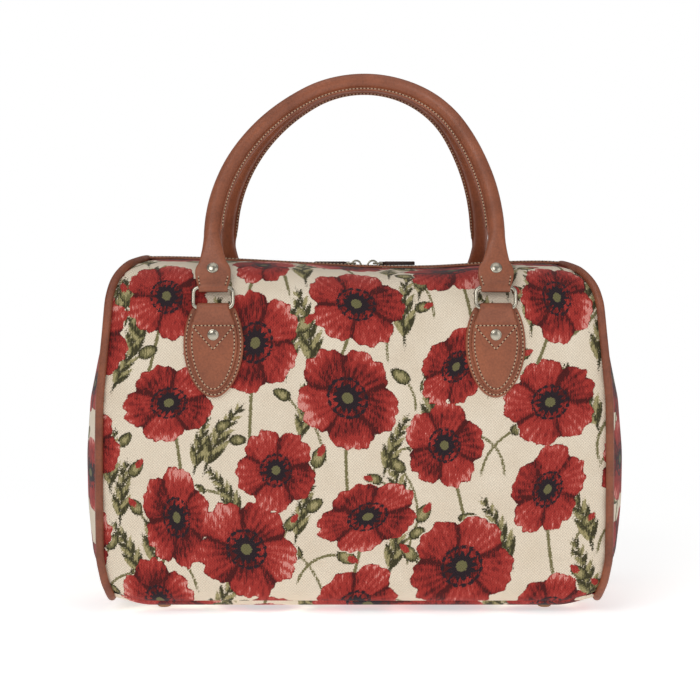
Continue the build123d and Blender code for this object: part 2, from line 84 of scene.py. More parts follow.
def circle_through(points):
    """Centre and radius of the circle through three points."""
    (ax, ay), (bx, by), (cx, cy) = points
    a, b, c = ax * ax + ay * ay, bx * bx + by * by, cx * cx + cy * cy
    d = 2 * (ax * (by - cy) + bx * (cy - ay) + cx * (ay - by))
    middle_x = (a * (by - cy) + b * (cy - ay) + c * (ay - by)) / d
    middle_y = (a * (cx - bx) + b * (ax - cx) + c * (bx - ax)) / d
    return np.array((middle_x, middle_y)), math.hypot(ax - middle_x, ay - middle_y)


def arc(centre, radius, start, end, count=60):
    """Points on a circle from one direction to another, the short way round."""
    first = math.atan2(start[1] - centre[1], start[0] - centre[0])
    last = math.atan2(end[1] - centre[1], end[0] - centre[0])
    turn = (last - first + math.pi) % (2 * math.pi) - math.pi
    angles = first + turn * np.linspace(0, 1, count)
    return centre + radius * np.column_stack((np.cos(angles), np.sin(angles)))


def along_line(points, places):
    """Points of a line at given distances along it."""
    points = np.asarray(points, float)
    steps = np.linalg.norm(np.diff(points, axis=0), axis=1)
    lengths = np.concatenate(((0,), np.cumsum(steps)))
    return np.column_stack([np.interp(places, lengths, column) for column in points.T])


def line_length(points):
    """Length of a line of points."""
    return float(np.linalg.norm(np.diff(points, axis=0), axis=1).sum())


wall_centre, wall_radius = circle_through(WALL)
crown_centre, crown_radius = circle_through(CROWN)
across = crown_centre - wall_centre
gap = np.linalg.norm(across)
inner_wall, inner_crown = wall_radius - SHOULDER_RADIUS, crown_radius - SHOULDER_RADIUS
reach = (inner_wall**2 - inner_crown**2 + gap**2) / (2 * gap)
lift = math.sqrt(inner_wall**2 - reach**2)
foot = wall_centre + across * reach / gap
sideways = np.array((-across[1], across[0])) / gap
meets = (foot + lift * sideways, foot - lift * sideways)
shoulder_centre = min(meets, key=lambda spot: np.hypot(*(spot - WALL[2])))
foot_fall = WALL_FOOT_HEIGHT - wall_centre[1]
wall_foot = (wall_centre[0] - math.sqrt(wall_radius**2 - foot_fall**2), WALL_FOOT_HEIGHT)
wall_end = wall_centre + (shoulder_centre - wall_centre) * wall_radius / inner_wall
crown_start = crown_centre + (shoulder_centre - crown_centre) * crown_radius / inner_crown
base_centre = np.array((wall_foot[0] + BASE_RADIUS, WALL_FOOT_HEIGHT))
half_turn = 30
base_turn = arc(base_centre, BASE_RADIUS, (base_centre[0], 0), (-1, WALL_FOOT_HEIGHT), 2 * half_turn + 1)
base_round, front_round = base_turn[:half_turn + 1], base_turn[half_turn:]
front_profile = np.vstack((
    front_round,
    arc(wall_centre, wall_radius, wall_foot, wall_end)[1:],
    arc(shoulder_centre, SHOULDER_RADIUS, wall_end, crown_start)[1:],
    arc(crown_centre, crown_radius, crown_start, CROWN[2])[1:],
    ((-SLOT_HALF_WIDTH, DECK_HEIGHT),),
))
front_loop = np.vstack((((0, BASE_HEIGHT),), base_round, front_profile[1:], ((0, DECK_HEIGHT),)))
front_height = line_length(front_profile)


def eased(heights, values):
    """A line through points up the bag, with its corners smoothed."""
    steps = np.linspace(-0.02, 0.31, 661)
    window = np.hanning(33)
    padded = np.pad(np.interp(steps, heights, values), 16, mode="edge")
    return steps, np.convolve(padded, window / window.sum(), "valid")


seam_line = eased(SEAM_HEIGHTS, SEAM_REACHES)
dome_line = eased(DOME_HEIGHTS, DOME_RISES)


def end_reach(y, z):
    """How far out the end seam or the end cloth lies at a depth and height."""
    swell = 1 - np.minimum(np.abs(y) / HALF_DEPTH, 1) ** 3
    return np.interp(z, *seam_line) + np.interp(z, *dome_line) * swell


def settle(points):
    """How the filled cloth hangs: the top rides up at both ends, and the base corners lift."""
    x, z = points[:, 0], points[:, 2]
    left_up = LEFT_RIDE_UP * ramp(-0.02, 0.165, -x)
    right_up = RIGHT_RIDE_UP * ramp(0.06, 0.15, x) * ramp(0.2, 0.155, x)
    dip = ZIP_DIP * np.exp(-(((x - 0.045) / 0.045) ** 2))
    corner = CORNER_LIFT * ramp(0.160, 0.200, np.abs(x)) * (1 - ramp(BASE_HEIGHT, 0.05, z))
    points[:, 2] = z + (np.where(x < 0, left_up, right_up) - dip) * ramp(0.2, 0.272, z) + corner
    return points


def calm(x, z):
    """1 on free cloth, 0 where the handle patches hold it flat."""
    return 1 - np.exp(-(((np.abs(x) - HARDWARE_X) / 0.04) ** 2) - ((z - HARDWARE_HEIGHT) / 0.055) ** 2)


def made_mesh(name, bm):
    """A new mesh from modelled faces."""
    mesh = bpy.data.meshes.new(name)
    bm.to_mesh(mesh)
    bm.free()
    return mesh


def unit_sheet(name, columns, rows):
    """A flat sheet of small squares, with each corner's place along and up it from 0 to 1."""
    bm = bmesh.new()
    bmesh.ops.create_grid(bm, x_segments=columns, y_segments=rows, size=0.5)
    mesh = made_mesh(name, bm)
    corners = np.empty(3 * len(mesh.vertices), np.float32)
    mesh.vertices.foreach_get("co", corners)
    corners = corners.reshape(-1, 3).astype(float)
    return mesh, corners[:, 0] + 0.5, corners[:, 1] + 0.5


def shape_sheet(mesh, points):
    """Move a sheet's corners to their places."""
    mesh.vertices.foreach_set("co", np.ascontiguousarray(points, np.float32).ravel())
    mesh.update()


def lay_threads(mesh, u, v):
    """The cloth's own coordinates in metres, which its weave follows."""
    corner = np.empty(len(mesh.loops), np.int32)
    mesh.loops.foreach_get("vertex_index", corner)
    layer = mesh.uv_layers.new(name="threads")
    layer.data.foreach_set("uv", np.column_stack((u, v))[corner].astype(np.float32).ravel())


def weave_in(mesh, values):
    """Store drawn values on a sheet's corners for its material."""
    for name, value in values.items():
        layer = mesh.attributes.new(name, "FLOAT", "POINT")
        layer.data.foreach_set("value", np.ascontiguousarray(value, np.float32))


def close_seams(mesh, distance=1e-5):
    """Join corners that meet, and turn the faces outwards."""
    bm = bmesh.new()
    bm.from_mesh(mesh)
    bmesh.ops.remove_doubles(bm, verts=bm.verts, dist=distance)
    bmesh.ops.recalc_face_normals(bm, faces=bm.faces)
    bm.to_mesh(mesh)
    bm.free()


def show(name, mesh, finish, node=None, body="bag"):
    """Put a finished mesh in the scene, riding on a body and in place of a CAD node."""
    piece = bpy.data.objects.new(name, mesh)
    bpy.context.scene.collection.objects.link(piece)
    mesh.materials.append(finish)
    mesh.shade_smooth()
    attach(piece, body)
    if node:
        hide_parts(node)
    return piece


# The woven design: round five-petalled flowers with a dark heart, on thin stems with buds and
# combed leaves. Each shape is drawn as a depth inside its edge, in metres, on the cloth's corners.
def draw_meadow(u, v, seed, width, height):
    """Depths and tones of every shape of the design at points of the cloth."""
    rng = np.random.default_rng(seed)
    names = ("stem", "leaf", "bud", "bloom", "heart", "button")
    drawn = {name: np.full(len(u), -0.02) for name in names}
    drawn["petal_tone"] = np.zeros(len(u))
    drawn["leaf_tone"] = np.zeros(len(u))

    def lens(name, x, y, length, breadth, turn, tone=None):
        """A pointed oval that narrows to its tip."""
        near = (np.abs(u - x) < length) & (np.abs(v - y) < length)
        dx, dy = u[near] - x, v[near] - y
        along = dx * math.cos(turn) + dy * math.sin(turn)
        aside = dy * math.cos(turn) - dx * math.sin(turn)
        narrowing = breadth * (1 - 0.35 * along / length)
        depth = breadth / 2 * (1 - np.sqrt((2 * along / length) ** 2 + (2 * aside / narrowing) ** 2))
        if tone is not None:
            layer = "petal_tone" if name == "bloom" else "leaf_tone"
            drawn[layer][near] = np.where(depth > drawn[name][near], tone, drawn[layer][near])
        drawn[name][near] = np.maximum(drawn[name][near], depth)

    def stalk(x, y, turn, length, bend, breadth):
        """A bending stem, and the point and direction of its far end."""
        steps = 14
        for step in range(steps):
            lens("stem", x, y, 3.2 * length / steps, breadth, turn)
            x += length / steps * math.cos(turn)
            y += length / steps * math.sin(turn)
            turn += bend / steps
        return x, y, turn

    def combed_leaf(x, y, turn, length, bend):
        """A leaf of narrow leaflets on both sides of a rib."""
        pairs = 7
        for pair in range(pairs):
            size = length * (0.36 - 0.24 * pair / pairs)
            for side in (-1, 1):
                slant = turn + side * (0.5 + 0.08 * (pair % 2))
                lens("leaf", x + 0.45 * size * math.cos(slant), y + 0.45 * size * math.sin(slant), size,
                     0.2 * size + 0.0008, slant, 0.5 + 0.3 * side * (1 - 2 * (pair % 2)))
            lens("leaf", x, y, 2.4 * length / pairs, 0.0022, turn, 0.15)
            x += length / pairs * math.cos(turn)
            y += length / pairs * math.sin(turn)
            turn += bend / pairs

    def flower(x, y, radius, turn, tilt, tone):
        """An open flower with notched petals, a dark heart and a ring of stamens."""
        near = (np.abs(u - x) < 1.2 * radius) & (np.abs(v - y) < 1.2 * radius)
        dx, dy = u[near] - x, v[near] - y
        lean = 2.3 * turn
        along = dx * math.cos(lean) + dy * math.sin(lean)
        aside = (dy * math.cos(lean) - dx * math.sin(lean)) / tilt
        away = np.hypot(along, aside)
        angle = np.arctan2(aside, along) + turn
        petal = (angle / (2 * math.pi) * 5) % 1
        which = np.floor((angle / (2 * math.pi) * 5) % 5)
        edge = radius * (0.76 + 0.22 * np.sin(math.pi * petal) ** 0.7)
        edge -= radius * 0.07 * np.exp(-(((petal - 0.5) / 0.07) ** 2))
        edge += radius * (0.018 * np.sin(19 * angle + 5 * turn) + 0.012 * np.sin(31 * angle))
        depth = edge - away
        share = np.clip(away / edge, 0, 1)
        fold = np.exp(-((np.minimum(petal, 1 - petal) / (0.035 + 0.06 * share)) ** 2))
        shade = 0.34 + 0.16 * np.sin(2.1 * which + tone)
        shade += 0.34 * ramp(0.62, 0.98, share) * np.sin(math.pi * petal)
        shade += 0.11 * np.sin(2 * math.pi * (petal * 6 + 0.8 * share)) * ramp(0.25, 0.5, share)
        shade -= 0.42 * fold + 0.16 * (1 - ramp(0.25, 0.55, share))
        shade += 0.1 * np.sin(9 * share + 4 * petal + tone)
        over = depth > 0
        for name in ("heart", "button", "bud"):
            drawn[name][near] = np.where(over, -0.02, drawn[name][near])
        drawn["petal_tone"][near] = np.where(over, np.clip(shade, 0, 1), drawn["petal_tone"][near])
        drawn["bloom"][near] = np.maximum(drawn["bloom"][near], depth)
        heart = radius * (0.25 + 0.05 * np.sin(13 * angle) + 0.03 * np.sin(22 * angle)) - away
        spoke = (angle * 15 / math.pi) % 2 - 1
        stamens = radius * 0.035 - np.hypot(away - 0.36 * radius, away * spoke * 0.11)
        drawn["heart"][near] = np.maximum(drawn["heart"][near], np.maximum(heart, stamens))
        drawn["button"][near] = np.maximum(drawn["button"][near], radius * 0.105 - away)

    column_gap, row_gap = 0.0735, 0.0775
    columns, rows = math.ceil(width / column_gap / 2) + 1, math.ceil(height / row_gap) + 2
    blooms = []
    for column in range(-columns, columns + 1):
        for row in range(-1, rows):
            x = column * column_gap + rng.uniform(-0.013, 0.013)
            y = (row + 0.5 * (column % 2)) * row_gap + rng.uniform(-0.014, 0.014)
            radius = rng.uniform(0.0335, 0.0470)
            blooms.append((x, y, radius, rng.uniform(0, 6), rng.uniform(0.64, 0.98), rng.uniform(0, 6)))
            lean, length, bend = rng.uniform(-0.4, 0.4), rng.uniform(0.075, 0.1), rng.uniform(-0.7, 0.7)
            stalk(x, y, -1.57 + lean, length, bend, 0.0026)
            for side in (-1, 1, rng.choice((-0.6, 0.6))):
                spot = (x + side * rng.uniform(0.026, 0.042), y - rng.uniform(0.018, 0.06))
                rise = 1.57 - side * rng.uniform(-0.2, 0.5)
                if rng.uniform() < 0.6:
                    combed_leaf(*spot, rise, rng.uniform(0.04, 0.058), -side * rng.uniform(0.1, 0.6))
                length, bend = rng.uniform(0.026, 0.048), -side * rng.uniform(0.4, 1.6)
                tip_x, tip_y, turn = stalk(*spot, rise, length, bend, 0.002)
                size = rng.uniform(0.0135, 0.0185)
                lens("bud", tip_x, tip_y, size, 0.62 * size, turn)
                if rng.uniform() < 0.5:
                    peep_x, peep_y = tip_x + 0.3 * size * math.cos(turn), tip_y + 0.3 * size * math.sin(turn)
                    lens("bloom", peep_x, peep_y, 0.55 * size, 0.3 * size, turn, 0.5)
    for bloom in blooms:
        flower(*bloom)
    return drawn


def linear(colour):
    """An sRGB hex colour as linear red, green, blue and alpha."""
    channels = [int(colour[start:start + 2], 16) / 255 for start in (1, 3, 5)]
    return [c / 12.92 if c <= 0.04045 else ((c + 0.055) / 1.055) ** 2.4 for c in channels] + [1]


def add_node(tree, kind, inputs, **settings):
    """A node with its settings; each input is a value, or the socket that feeds it."""
    node = tree.nodes.new("ShaderNode" + kind)
    for name, value in settings.items():
        setattr(node, name, value)
    for key, value in inputs.items():
        if isinstance(value, bpy.types.NodeSocket):
            tree.links.new(value, node.inputs[key])
        else:
            node.inputs[key].default_value = value
    return node


def new_finish(name, roughness, metallic=0.0):
    """An empty finish with its node tree and shader."""
    finish = bpy.data.materials.new(name)
    finish.use_nodes = True
    shader = finish.node_tree.nodes["Principled BSDF"]
    shader.inputs["Roughness"].default_value = roughness
    shader.inputs["Metallic"].default_value = metallic
    return finish, finish.node_tree, shader


# Jacquard tapestry: cotton yarns in a few dyed colours, woven. Threads are really 0.5 mm apart; they
# are drawn 2.3 mm apart so that they show in the picture. Matt, with ragged edges between colours.
THREAD_PITCH = 0.0023
RAG_SIZE = 0.0012
RAG_REACH = 0.0006
STREAK_SIZE = (0.0011, 0.005)
SLUB_SIZE = 0.03
tapestry, tree, shader = new_finish("woven jacquard tapestry", 0.88)
shader.inputs["Sheen Weight"].default_value = 0.12
shader.inputs["Specular IOR Level"].default_value = 0.25
threads = add_node(tree, "UVMap", {}, uv_map="threads").outputs["UV"]
thread_turn = (2 * math.pi / THREAD_PITCH,) * 3
spread = add_node(tree, "VectorMath", {0: threads, 1: thread_turn}, operation="MULTIPLY")
split = add_node(tree, "SeparateXYZ", {0: spread.outputs[0]})
warp = add_node(tree, "Math", {0: split.outputs["X"]}, operation="SINE")
weft = add_node(tree, "Math", {0: split.outputs["Y"]}, operation="SINE")
weave = add_node(tree, "Math", {0: warp.outputs[0], 1: weft.outputs[0]}, operation="MULTIPLY")
rag = add_node(tree, "TexNoise", {"Vector": threads, "Scale": 1 / RAG_SIZE, "Detail": 1.0})
ragged = add_node(tree, "MapRange", {0: rag.outputs[0], 1: 0.25, 2: 0.75, 3: -RAG_REACH, 4: RAG_REACH})
streaky = (1 / STREAK_SIZE[0], 1 / STREAK_SIZE[1], 1.0)
drawn_out = add_node(tree, "VectorMath", {0: threads, 1: streaky}, operation="MULTIPLY")
streak = add_node(tree, "TexNoise", {"Vector": drawn_out.outputs[0], "Scale": 1.0, "Detail": 2.0})
slub = add_node(tree, "TexNoise", {"Vector": threads, "Scale": 1 / SLUB_SIZE, "Detail": 3.0})
creams = {0: slub.outputs[0], 6: linear("#d9c8b0"), 7: linear("#efe3cf")}
ground = add_node(tree, "Mix", creams, data_type="RGBA")
petal_tone = add_node(tree, "Attribute", {}, attribute_name="petal_tone").outputs["Fac"]
hatched = add_node(tree, "MapRange", {0: streak.outputs[0], 1: 0.3, 2: 0.7, 3: -0.2, 4: 0.2})
toned = add_node(tree, "Math", {0: petal_tone, 1: hatched.outputs[0]}, operation="ADD")
petals = add_node(tree, "ValToRGB", {0: toned.outputs[0]})
petals.color_ramp.interpolation = "CONSTANT"
petals.color_ramp.elements[1].position = 0.14
for position in (0.34, 0.6, 0.76):
    petals.color_ramp.elements.new(position)
reds = ("#4e1413", "#82231f", "#a2312a", "#b84a41", "#d88c82")
for stop, colour in zip(petals.color_ramp.elements, reds):
    stop.color = linear(colour)
leaf_tone = add_node(tree, "Attribute", {}, attribute_name="leaf_tone").outputs["Fac"]
bud_depth = add_node(tree, "Attribute", {}, attribute_name="bud").outputs["Fac"]
bud_tone = add_node(tree, "MapRange", {0: bud_depth, 1: 0.0002, 2: 0.0036, 3: 0.1, 4: 0.9})
greens = []
for tone in (leaf_tone, bud_tone.outputs[0]):
    mottled = add_node(tree, "Math", {0: hatched.outputs[0], 1: 1.4, 2: tone}, operation="MULTIPLY_ADD")
    green = add_node(tree, "ValToRGB", {0: mottled.outputs[0]})
    green.color_ramp.interpolation = "CONSTANT"
    green.color_ramp.elements[1].position = 0.34
    green.color_ramp.elements.new(0.7)
    for stop, colour in zip(green.color_ramp.elements, ("#3d3922", "#716b45", "#a2976b")):
        stop.color = linear(colour)
    greens.append(green.outputs[0])
cloth_colour = ground.outputs[2]
raised = None
for layer, colour in (
    ("stem", linear("#77704a")),
    ("leaf", greens[0]),
    ("bud", greens[1]),
    ("bloom", petals.outputs[0]),
    ("heart", linear("#261a20")),
    ("button", linear("#6d6844")),
):
    depth = add_node(tree, "Attribute", {}, attribute_name=layer).outputs["Fac"]
    torn = add_node(tree, "Math", {0: depth, 1: ragged.outputs[0]}, operation="ADD")
    inside = add_node(tree, "MapRange", {0: torn.outputs[0], 1: -0.00025, 2: 0.00025, 3: 0.0, 4: 1.0})
    mixed = add_node(tree, "Mix", {0: inside.outputs[0], 6: cloth_colour, 7: colour}, data_type="RGBA")
    cloth_colour = mixed.outputs[2]
    if layer == "bloom":
        raised = inside.outputs[0]
# Painted light and shade: the colour is lightened on each thread's crest and darkened in the gaps between
# threads, on top of the bump.
thread_light = add_node(tree, "MapRange", {0: weave.outputs[0], 1: -1.0, 2: 1.0, 3: 0.8, 4: 1.08})
lit_threads = {0: 1.0, 6: cloth_colour, 7: thread_light.outputs[0]}
lit = add_node(tree, "Mix", lit_threads, data_type="RGBA", blend_type="MULTIPLY")
tree.links.new(lit.outputs[2], shader.inputs["Base Color"])
height = add_node(tree, "Math", {0: raised, 1: 0.8, 2: weave.outputs[0]}, operation="MULTIPLY_ADD")
bump = add_node(tree, "Bump", {"Strength": 0.45, "Distance": 0.00035, "Height": height.outputs[0]})
tree.links.new(bump.outputs[0], shader.inputs["Normal"])


def wall_panel(name, side, seed):
    """The front (-1) or back (1) cloth."""
    mesh, along, up = unit_sheet(name, 250, 220)
    place = up * front_height
    profile = along_line(front_profile, place)
    ahead = along_line(front_profile, np.minimum(place + 0.001, front_height))
    behind = along_line(front_profile, np.maximum(place - 0.001, 0))
    slope = (ahead - behind) / np.linalg.norm(ahead - behind, axis=1)[:, None]
    outward = np.column_stack((-slope[:, 1], slope[:, 0]))
    y, z = profile.T
    half = end_reach(y, z) - 0.6 * PIPING_RADIUS
    x = (2 * along - 1) * half
    seam = half - np.abs(x)
    free = ramp(0.0, 0.03, seam) * ramp(0, 0.02, place) * ramp(0, 0.03, front_height - place) * calm(x, z)
    belly = 0.0011 * np.sin(17 * x + 3.1 * side) * np.sin(21 * place + 0.7)
    belly += 0.0009 * np.sin(31 * x - 26 * place + side)
    belly += 0.0006 * np.sin(58 * x + 23 * place + 2 * side) * ramp(0.1, 0, place)
    pucker = 0.0005 * np.sin(2 * math.pi * place / 0.021 + 1.5 * np.sin(40 * place)) * np.exp(-seam / 0.008)
    rolled_in = -SEAM_TUCK * np.exp(-seam / 0.005) - 0.0012 * np.exp(-place / 0.004)
    out = free * belly + pucker * ramp(0, 0.03, place) + rolled_in
    y, z = y + out * outward[:, 0], z + out * outward[:, 1]
    shape_sheet(mesh, settle(np.column_stack((x, -side * y, z))))
    if side > 0:
        mesh.flip_normals()
    lay_threads(mesh, x, place)
    weave_in(mesh, draw_meadow(x, place, seed, CLOTH_WIDTH, front_height))
    panel = show(name, mesh, tapestry, name)


wall_panel("front_panel", -1, 12)
wall_panel("back_panel", 1, 47)

# Tapestry base
# The same cloth under the bag. It lies flat under the board inside, turns up at the bottom edges and
# is sewn to front and back halfway round the turn.
BASE_PINCH = 0.0012
mesh, along, up = unit_sheet("base_panel", 200, 110)
base_profile = np.vstack((base_round[::-1], base_round * (-1, 1)))
base_length = line_length(base_profile)
y, z = along_line(base_profile, up * base_length).T
half = end_reach(y, z) - 0.6 * PIPING_RADIUS
x = (2 * along - 1) * half
turned = np.minimum(up, 1 - up) * base_length
pinch = BASE_PINCH * np.exp(-turned / 0.004)
shape_sheet(mesh, settle(np.column_stack((x, y * (1 - 0.7 * pinch / 0.09), z + 0.7 * pinch))))
mesh.flip_normals()
lay_threads(mesh, x, up * base_length)
weave_in(mesh, draw_meadow(x, up * base_length, 83, CLOTH_WIDTH, base_length))
base = show("base_panel", mesh, tapestry, "base_panel")

# Tapestry ends
# A gusset at each end, cut to the bag's outline and sewn inside the piping. The filling domes it.
GUSSET_DESIGN = (0.22, 0.29)
gusset_middle = np.array((0, 0.142))
end_loop = np.vstack((front_loop, (front_loop * (-1, 1))[::-1][1:]))
for name, side, seed in (("left_gusset", -1, 5), ("right_gusset", 1, 31)):
    mesh, along, up = unit_sheet(name, 300, 64)
    rim = along_line(end_loop, along * line_length(end_loop)) - gusset_middle
    y, z = (gusset_middle + rim * up[:, None]).T
    inset = np.linalg.norm(rim, axis=1) * (1 - up)
    out = end_reach(y, z) - SEAM_TUCK * np.exp(-inset / 0.005)
    out += 0.0012 * np.sin(24 * y + 2 * side) * np.sin(19 * z) * ramp(0, 0.03, inset)
    out += 0.0006 * np.sin(2 * math.pi * along * 42) * np.exp(-inset / 0.008)
    shape_sheet(mesh, settle(np.column_stack((side * out, y * 0.99, z))))
    lay_threads(mesh, side * y, z)
    weave_in(mesh, draw_meadow(side * y, z, seed, *GUSSET_DESIGN))
    close_seams(mesh)
    if sum(face.normal.x for face in mesh.polygons) * side < 0:
        mesh.flip_normals()
    gusset = show(name, mesh, tapestry, "gussets")

# Piping
# A cord covered in a strip of brown leathercloth, sewn into the seam round each end. The seam
# allowance is inside, so only the round edge shows.
GRAIN_SIZE = 0.0014
PORE_SIZE = 0.0006
WEAR_SIZE = 0.022
PIPING_COVER = 0.0002


def leather_finish(name, light, dark, roughness):
    """Grained leathercloth: pressed pebble grain with painted shade in its creases, worn paler in broad
    patches, satin.
    """
    finish, tree, shader = new_finish(name, roughness)
    place = add_node(tree, "TexCoord", {}).outputs["Object"]
    grain = add_node(tree, "TexVoronoi", {"Vector": place, "Scale": 1 / GRAIN_SIZE}, feature="SMOOTH_F1")
    pores = add_node(tree, "TexNoise", {"Vector": place, "Scale": 1 / PORE_SIZE, "Detail": 2.0})
    worn = {"Vector": place, "Scale": 1 / WEAR_SIZE, "Detail": 4.0, "Roughness": 0.6}
    wear = add_node(tree, "TexNoise", worn)
    patchy = add_node(tree, "MapRange", {0: wear.outputs[0], 1: 0.32, 2: 0.68, 3: 0.0, 4: 1.0})
    broad = add_node(tree, "Mix", {0: patchy.outputs[0], 6: linear(dark), 7: linear(light)}, data_type="RGBA")
    # Painted shade: the colour darkens towards the creases between the grain's pebbles, where the bump sinks.
    crease_shade = add_node(tree, "MapRange", {0: grain.outputs[0], 1: 0.2, 2: 0.7, 3: 1.06, 4: 0.84})
    shaded = {0: 1.0, 6: broad.outputs[2], 7: crease_shade.outputs[0]}
    wear_and_crease_shade = add_node(tree, "Mix", shaded, data_type="RGBA", blend_type="MULTIPLY")
    tree.links.new(wear_and_crease_shade.outputs[2], shader.inputs["Base Color"])
    rubbed = {0: wear.outputs[0], 1: 0.3, 2: 0.7, 3: roughness + 0.08, 4: roughness - 0.06}
    tree.links.new(add_node(tree, "MapRange", rubbed).outputs[0], shader.inputs["Roughness"])
    pits = {0: pores.outputs[0], 1: 0.35, 2: grain.outputs[0]}
    pitted = add_node(tree, "Math", pits, operation="MULTIPLY_ADD").outputs[0]
    bump = add_node(tree, "Bump", {"Strength": 0.28, "Distance": 0.0004, "Height": pitted}, invert=True)
    tree.links.new(bump.outputs[0], shader.inputs["Normal"])
    shader.inputs["IOR"].default_value = 1.5
    return finish


leather = leather_finish("brown grained leathercloth", "#9b583a", "#82472d", 0.44)
piping_leather = leather_finish("piping leathercloth", "#905034", "#733c27", 0.5)


def drawn_tube(points, radius, closed, rounds=4):
    """A round tube along a line, as a mesh."""
    curve = bpy.data.curves.new("tube", "CURVE")
    curve.dimensions = "3D"
    curve.bevel_depth = radius
    curve.bevel_resolution = rounds
    curve.use_fill_caps = not closed
    line = curve.splines.new("POLY")
    line.points.add(len(points) - 1)
    weighted = np.column_stack((points, np.ones(len(points))))
    line.points.foreach_set("co", weighted.astype(np.float32).ravel())
    line.use_cyclic_u = closed
    holder = bpy.data.objects.new("tube", curve)
    mesh = bpy.data.meshes.new_from_object(holder)
    bpy.data.objects.remove(holder)
    bpy.data.curves.remove(curve)
    return mesh


for name, side in (("left_piping", -1), ("right_piping", 1)):
    places = np.linspace(0, line_length(end_loop[:-1]), 420, endpoint=False)
    y, z = along_line(end_loop, places).T
    bead = settle(np.column_stack((side * end_reach(y, z), y, z)))
    show(name, drawn_tube(bead, PIPING_RADIUS + PIPING_COVER, True, 5), piping_leather, "pipings")

# Zip opening
# A strip of the same leathercloth binds each cloth edge, stitched along both sides. Under it lies the
# woven tape with its row of metal teeth.
THREAD_RADIUS = 0.00056
STITCH_LENGTH = 0.0017
STITCH_PITCH = 0.0030
HOLE_SHARE = 1.05


def two_shades(name, roughness, kind, pattern, dark, light, relief=None, gloss=None, metallic=0.0):
    """A finish that wavers between two shades in a pattern, which may stand up or change its gloss."""
    finish, tree, shader = new_finish(name, roughness, metallic)
    place = add_node(tree, "TexCoord", {}).outputs["Object"]
    drawn = add_node(tree, kind, {"Vector": place, **pattern}).outputs[0]
    shade = add_node(tree, "Mix", {0: drawn, 6: linear(dark), 7: linear(light)}, data_type="RGBA")
    tree.links.new(shade.outputs[2], shader.inputs["Base Color"])
    if relief:
        bump = add_node(tree, "Bump", {"Strength": relief[0], "Distance": relief[1], "Height": drawn})
        tree.links.new(bump.outputs[0], shader.inputs["Normal"])
    if gloss:
        dull = add_node(tree, "MapRange", {0: drawn, 1: 0.3, 2: 0.7, 3: gloss[0], 4: gloss[1]})
        tree.links.new(dull.outputs[0], shader.inputs["Roughness"])
    return finish


# Cotton thread, twisted; painted shade in the needle holes that it dives into; ribbed tape; handled metal
# plate.
TWIST_SIZE = 0.0007
HOLE_SHADE_SIZE = 0.003
TAPE_RIB = 0.0016
HANDLED_SIZE = 0.006
WAVE_TURN = 2 * math.pi / 20  # the wave pattern's own scale for one rib in each metre
thread = two_shades("beige sewing thread", 0.75, "TexNoise", {"Scale": 1 / TWIST_SIZE, "Detail": 2.0},
                    "#a4876a", "#d2bd9f", relief=(0.4, 0.0002))
needle_hole_shade = two_shades("needle holes in leather", 0.9, "TexNoise", {"Scale": 1 / HOLE_SHADE_SIZE},
                         "#2a140c", "#45251a")
tape_weave = two_shades("woven zip tape", 0.85, "TexWave", {"Scale": WAVE_TURN / TAPE_RIB, "Distortion": 0.6},
                        "#3a2119", "#5a3526", relief=(0.3, 0.0002))
nickel = two_shades("polished nickel plate", 0.2, "TexNoise",
                    {"Scale": 1 / HANDLED_SIZE, "Detail": 5.0, "Roughness": 0.7},
                    "#989182", "#c8c1b0", gloss=(0.14, 0.32), metallic=1.0)


def stitch_rows(name, rows, body, pitch=STITCH_PITCH, length=STITCH_LENGTH, radius=THREAD_RADIUS):
    """Rows of stitches, each a thread that shows for a length and dives into a needle hole, marked by a dark
    dot of painted shade.
    """
    bm = bmesh.new()
    for points in rows:
        total = line_length(points)
        count = max(int(total / pitch), 1)
        middles = (np.arange(count) + 0.5) * total / count
        starts = along_line(points, middles - length / 2)
        ends = along_line(points, middles + length / 2)
        for start, end in zip(starts, ends):
            run = Vector(end - start)
            turn = run.to_track_quat("X", "Z").to_matrix().to_4x4()
            size = Matrix.Diagonal((run.length / 2, radius, radius, 1))
            spot = Matrix.Translation(Vector((start + end) / 2))
            bmesh.ops.create_icosphere(bm, subdivisions=2, radius=1, matrix=spot @ turn @ size)
            hole = Matrix.Translation(Vector(end + (end - start) * (pitch - length) / (2 * length)))
            # A dark dot of painted shade sits in each needle hole.
            hole_shade_dot = bmesh.ops.create_icosphere(bm, subdivisions=1, radius=HOLE_SHARE * radius, matrix=hole)
            for face in {face for corner in hole_shade_dot["verts"] for face in corner.link_faces}:
                face.material_index = 1
    mesh = made_mesh(name, bm)
    show(name, mesh, thread, body=body)
    mesh.materials.append(needle_hole_shade)


BINDING_WIDTH = 0.011
BINDING_THICKNESS = 0.0014
BINDING_LIFT = 0.0006
BINDING_SEAMS = (0.0017, BINDING_WIDTH - 0.0016)
ZIP_HALF_LENGTH = 0.172
TAPE_TOP = 0.2735
TAPE_INNER = 0.0009
TAPE_WIDTH = 0.0085
TAPE_THICKNESS = 0.0007
TOOTH_PITCH = 0.0026
TOOTH_INNER = 0.0007  # clear of the slider's post, which is 0.5 mm to each side
TOOTH_OUTER = 0.0032
TOOTH_SIZE = (0.0014, TOOTH_OUTER - TOOTH_INNER, 0.0015)
TOOTH_LIFT = 0.0008
TOOTH_ROUNDING = 0.0003


def squared(wave, power):
    """A wave with its crests flattened."""
    return np.sign(wave) * np.abs(wave) ** power


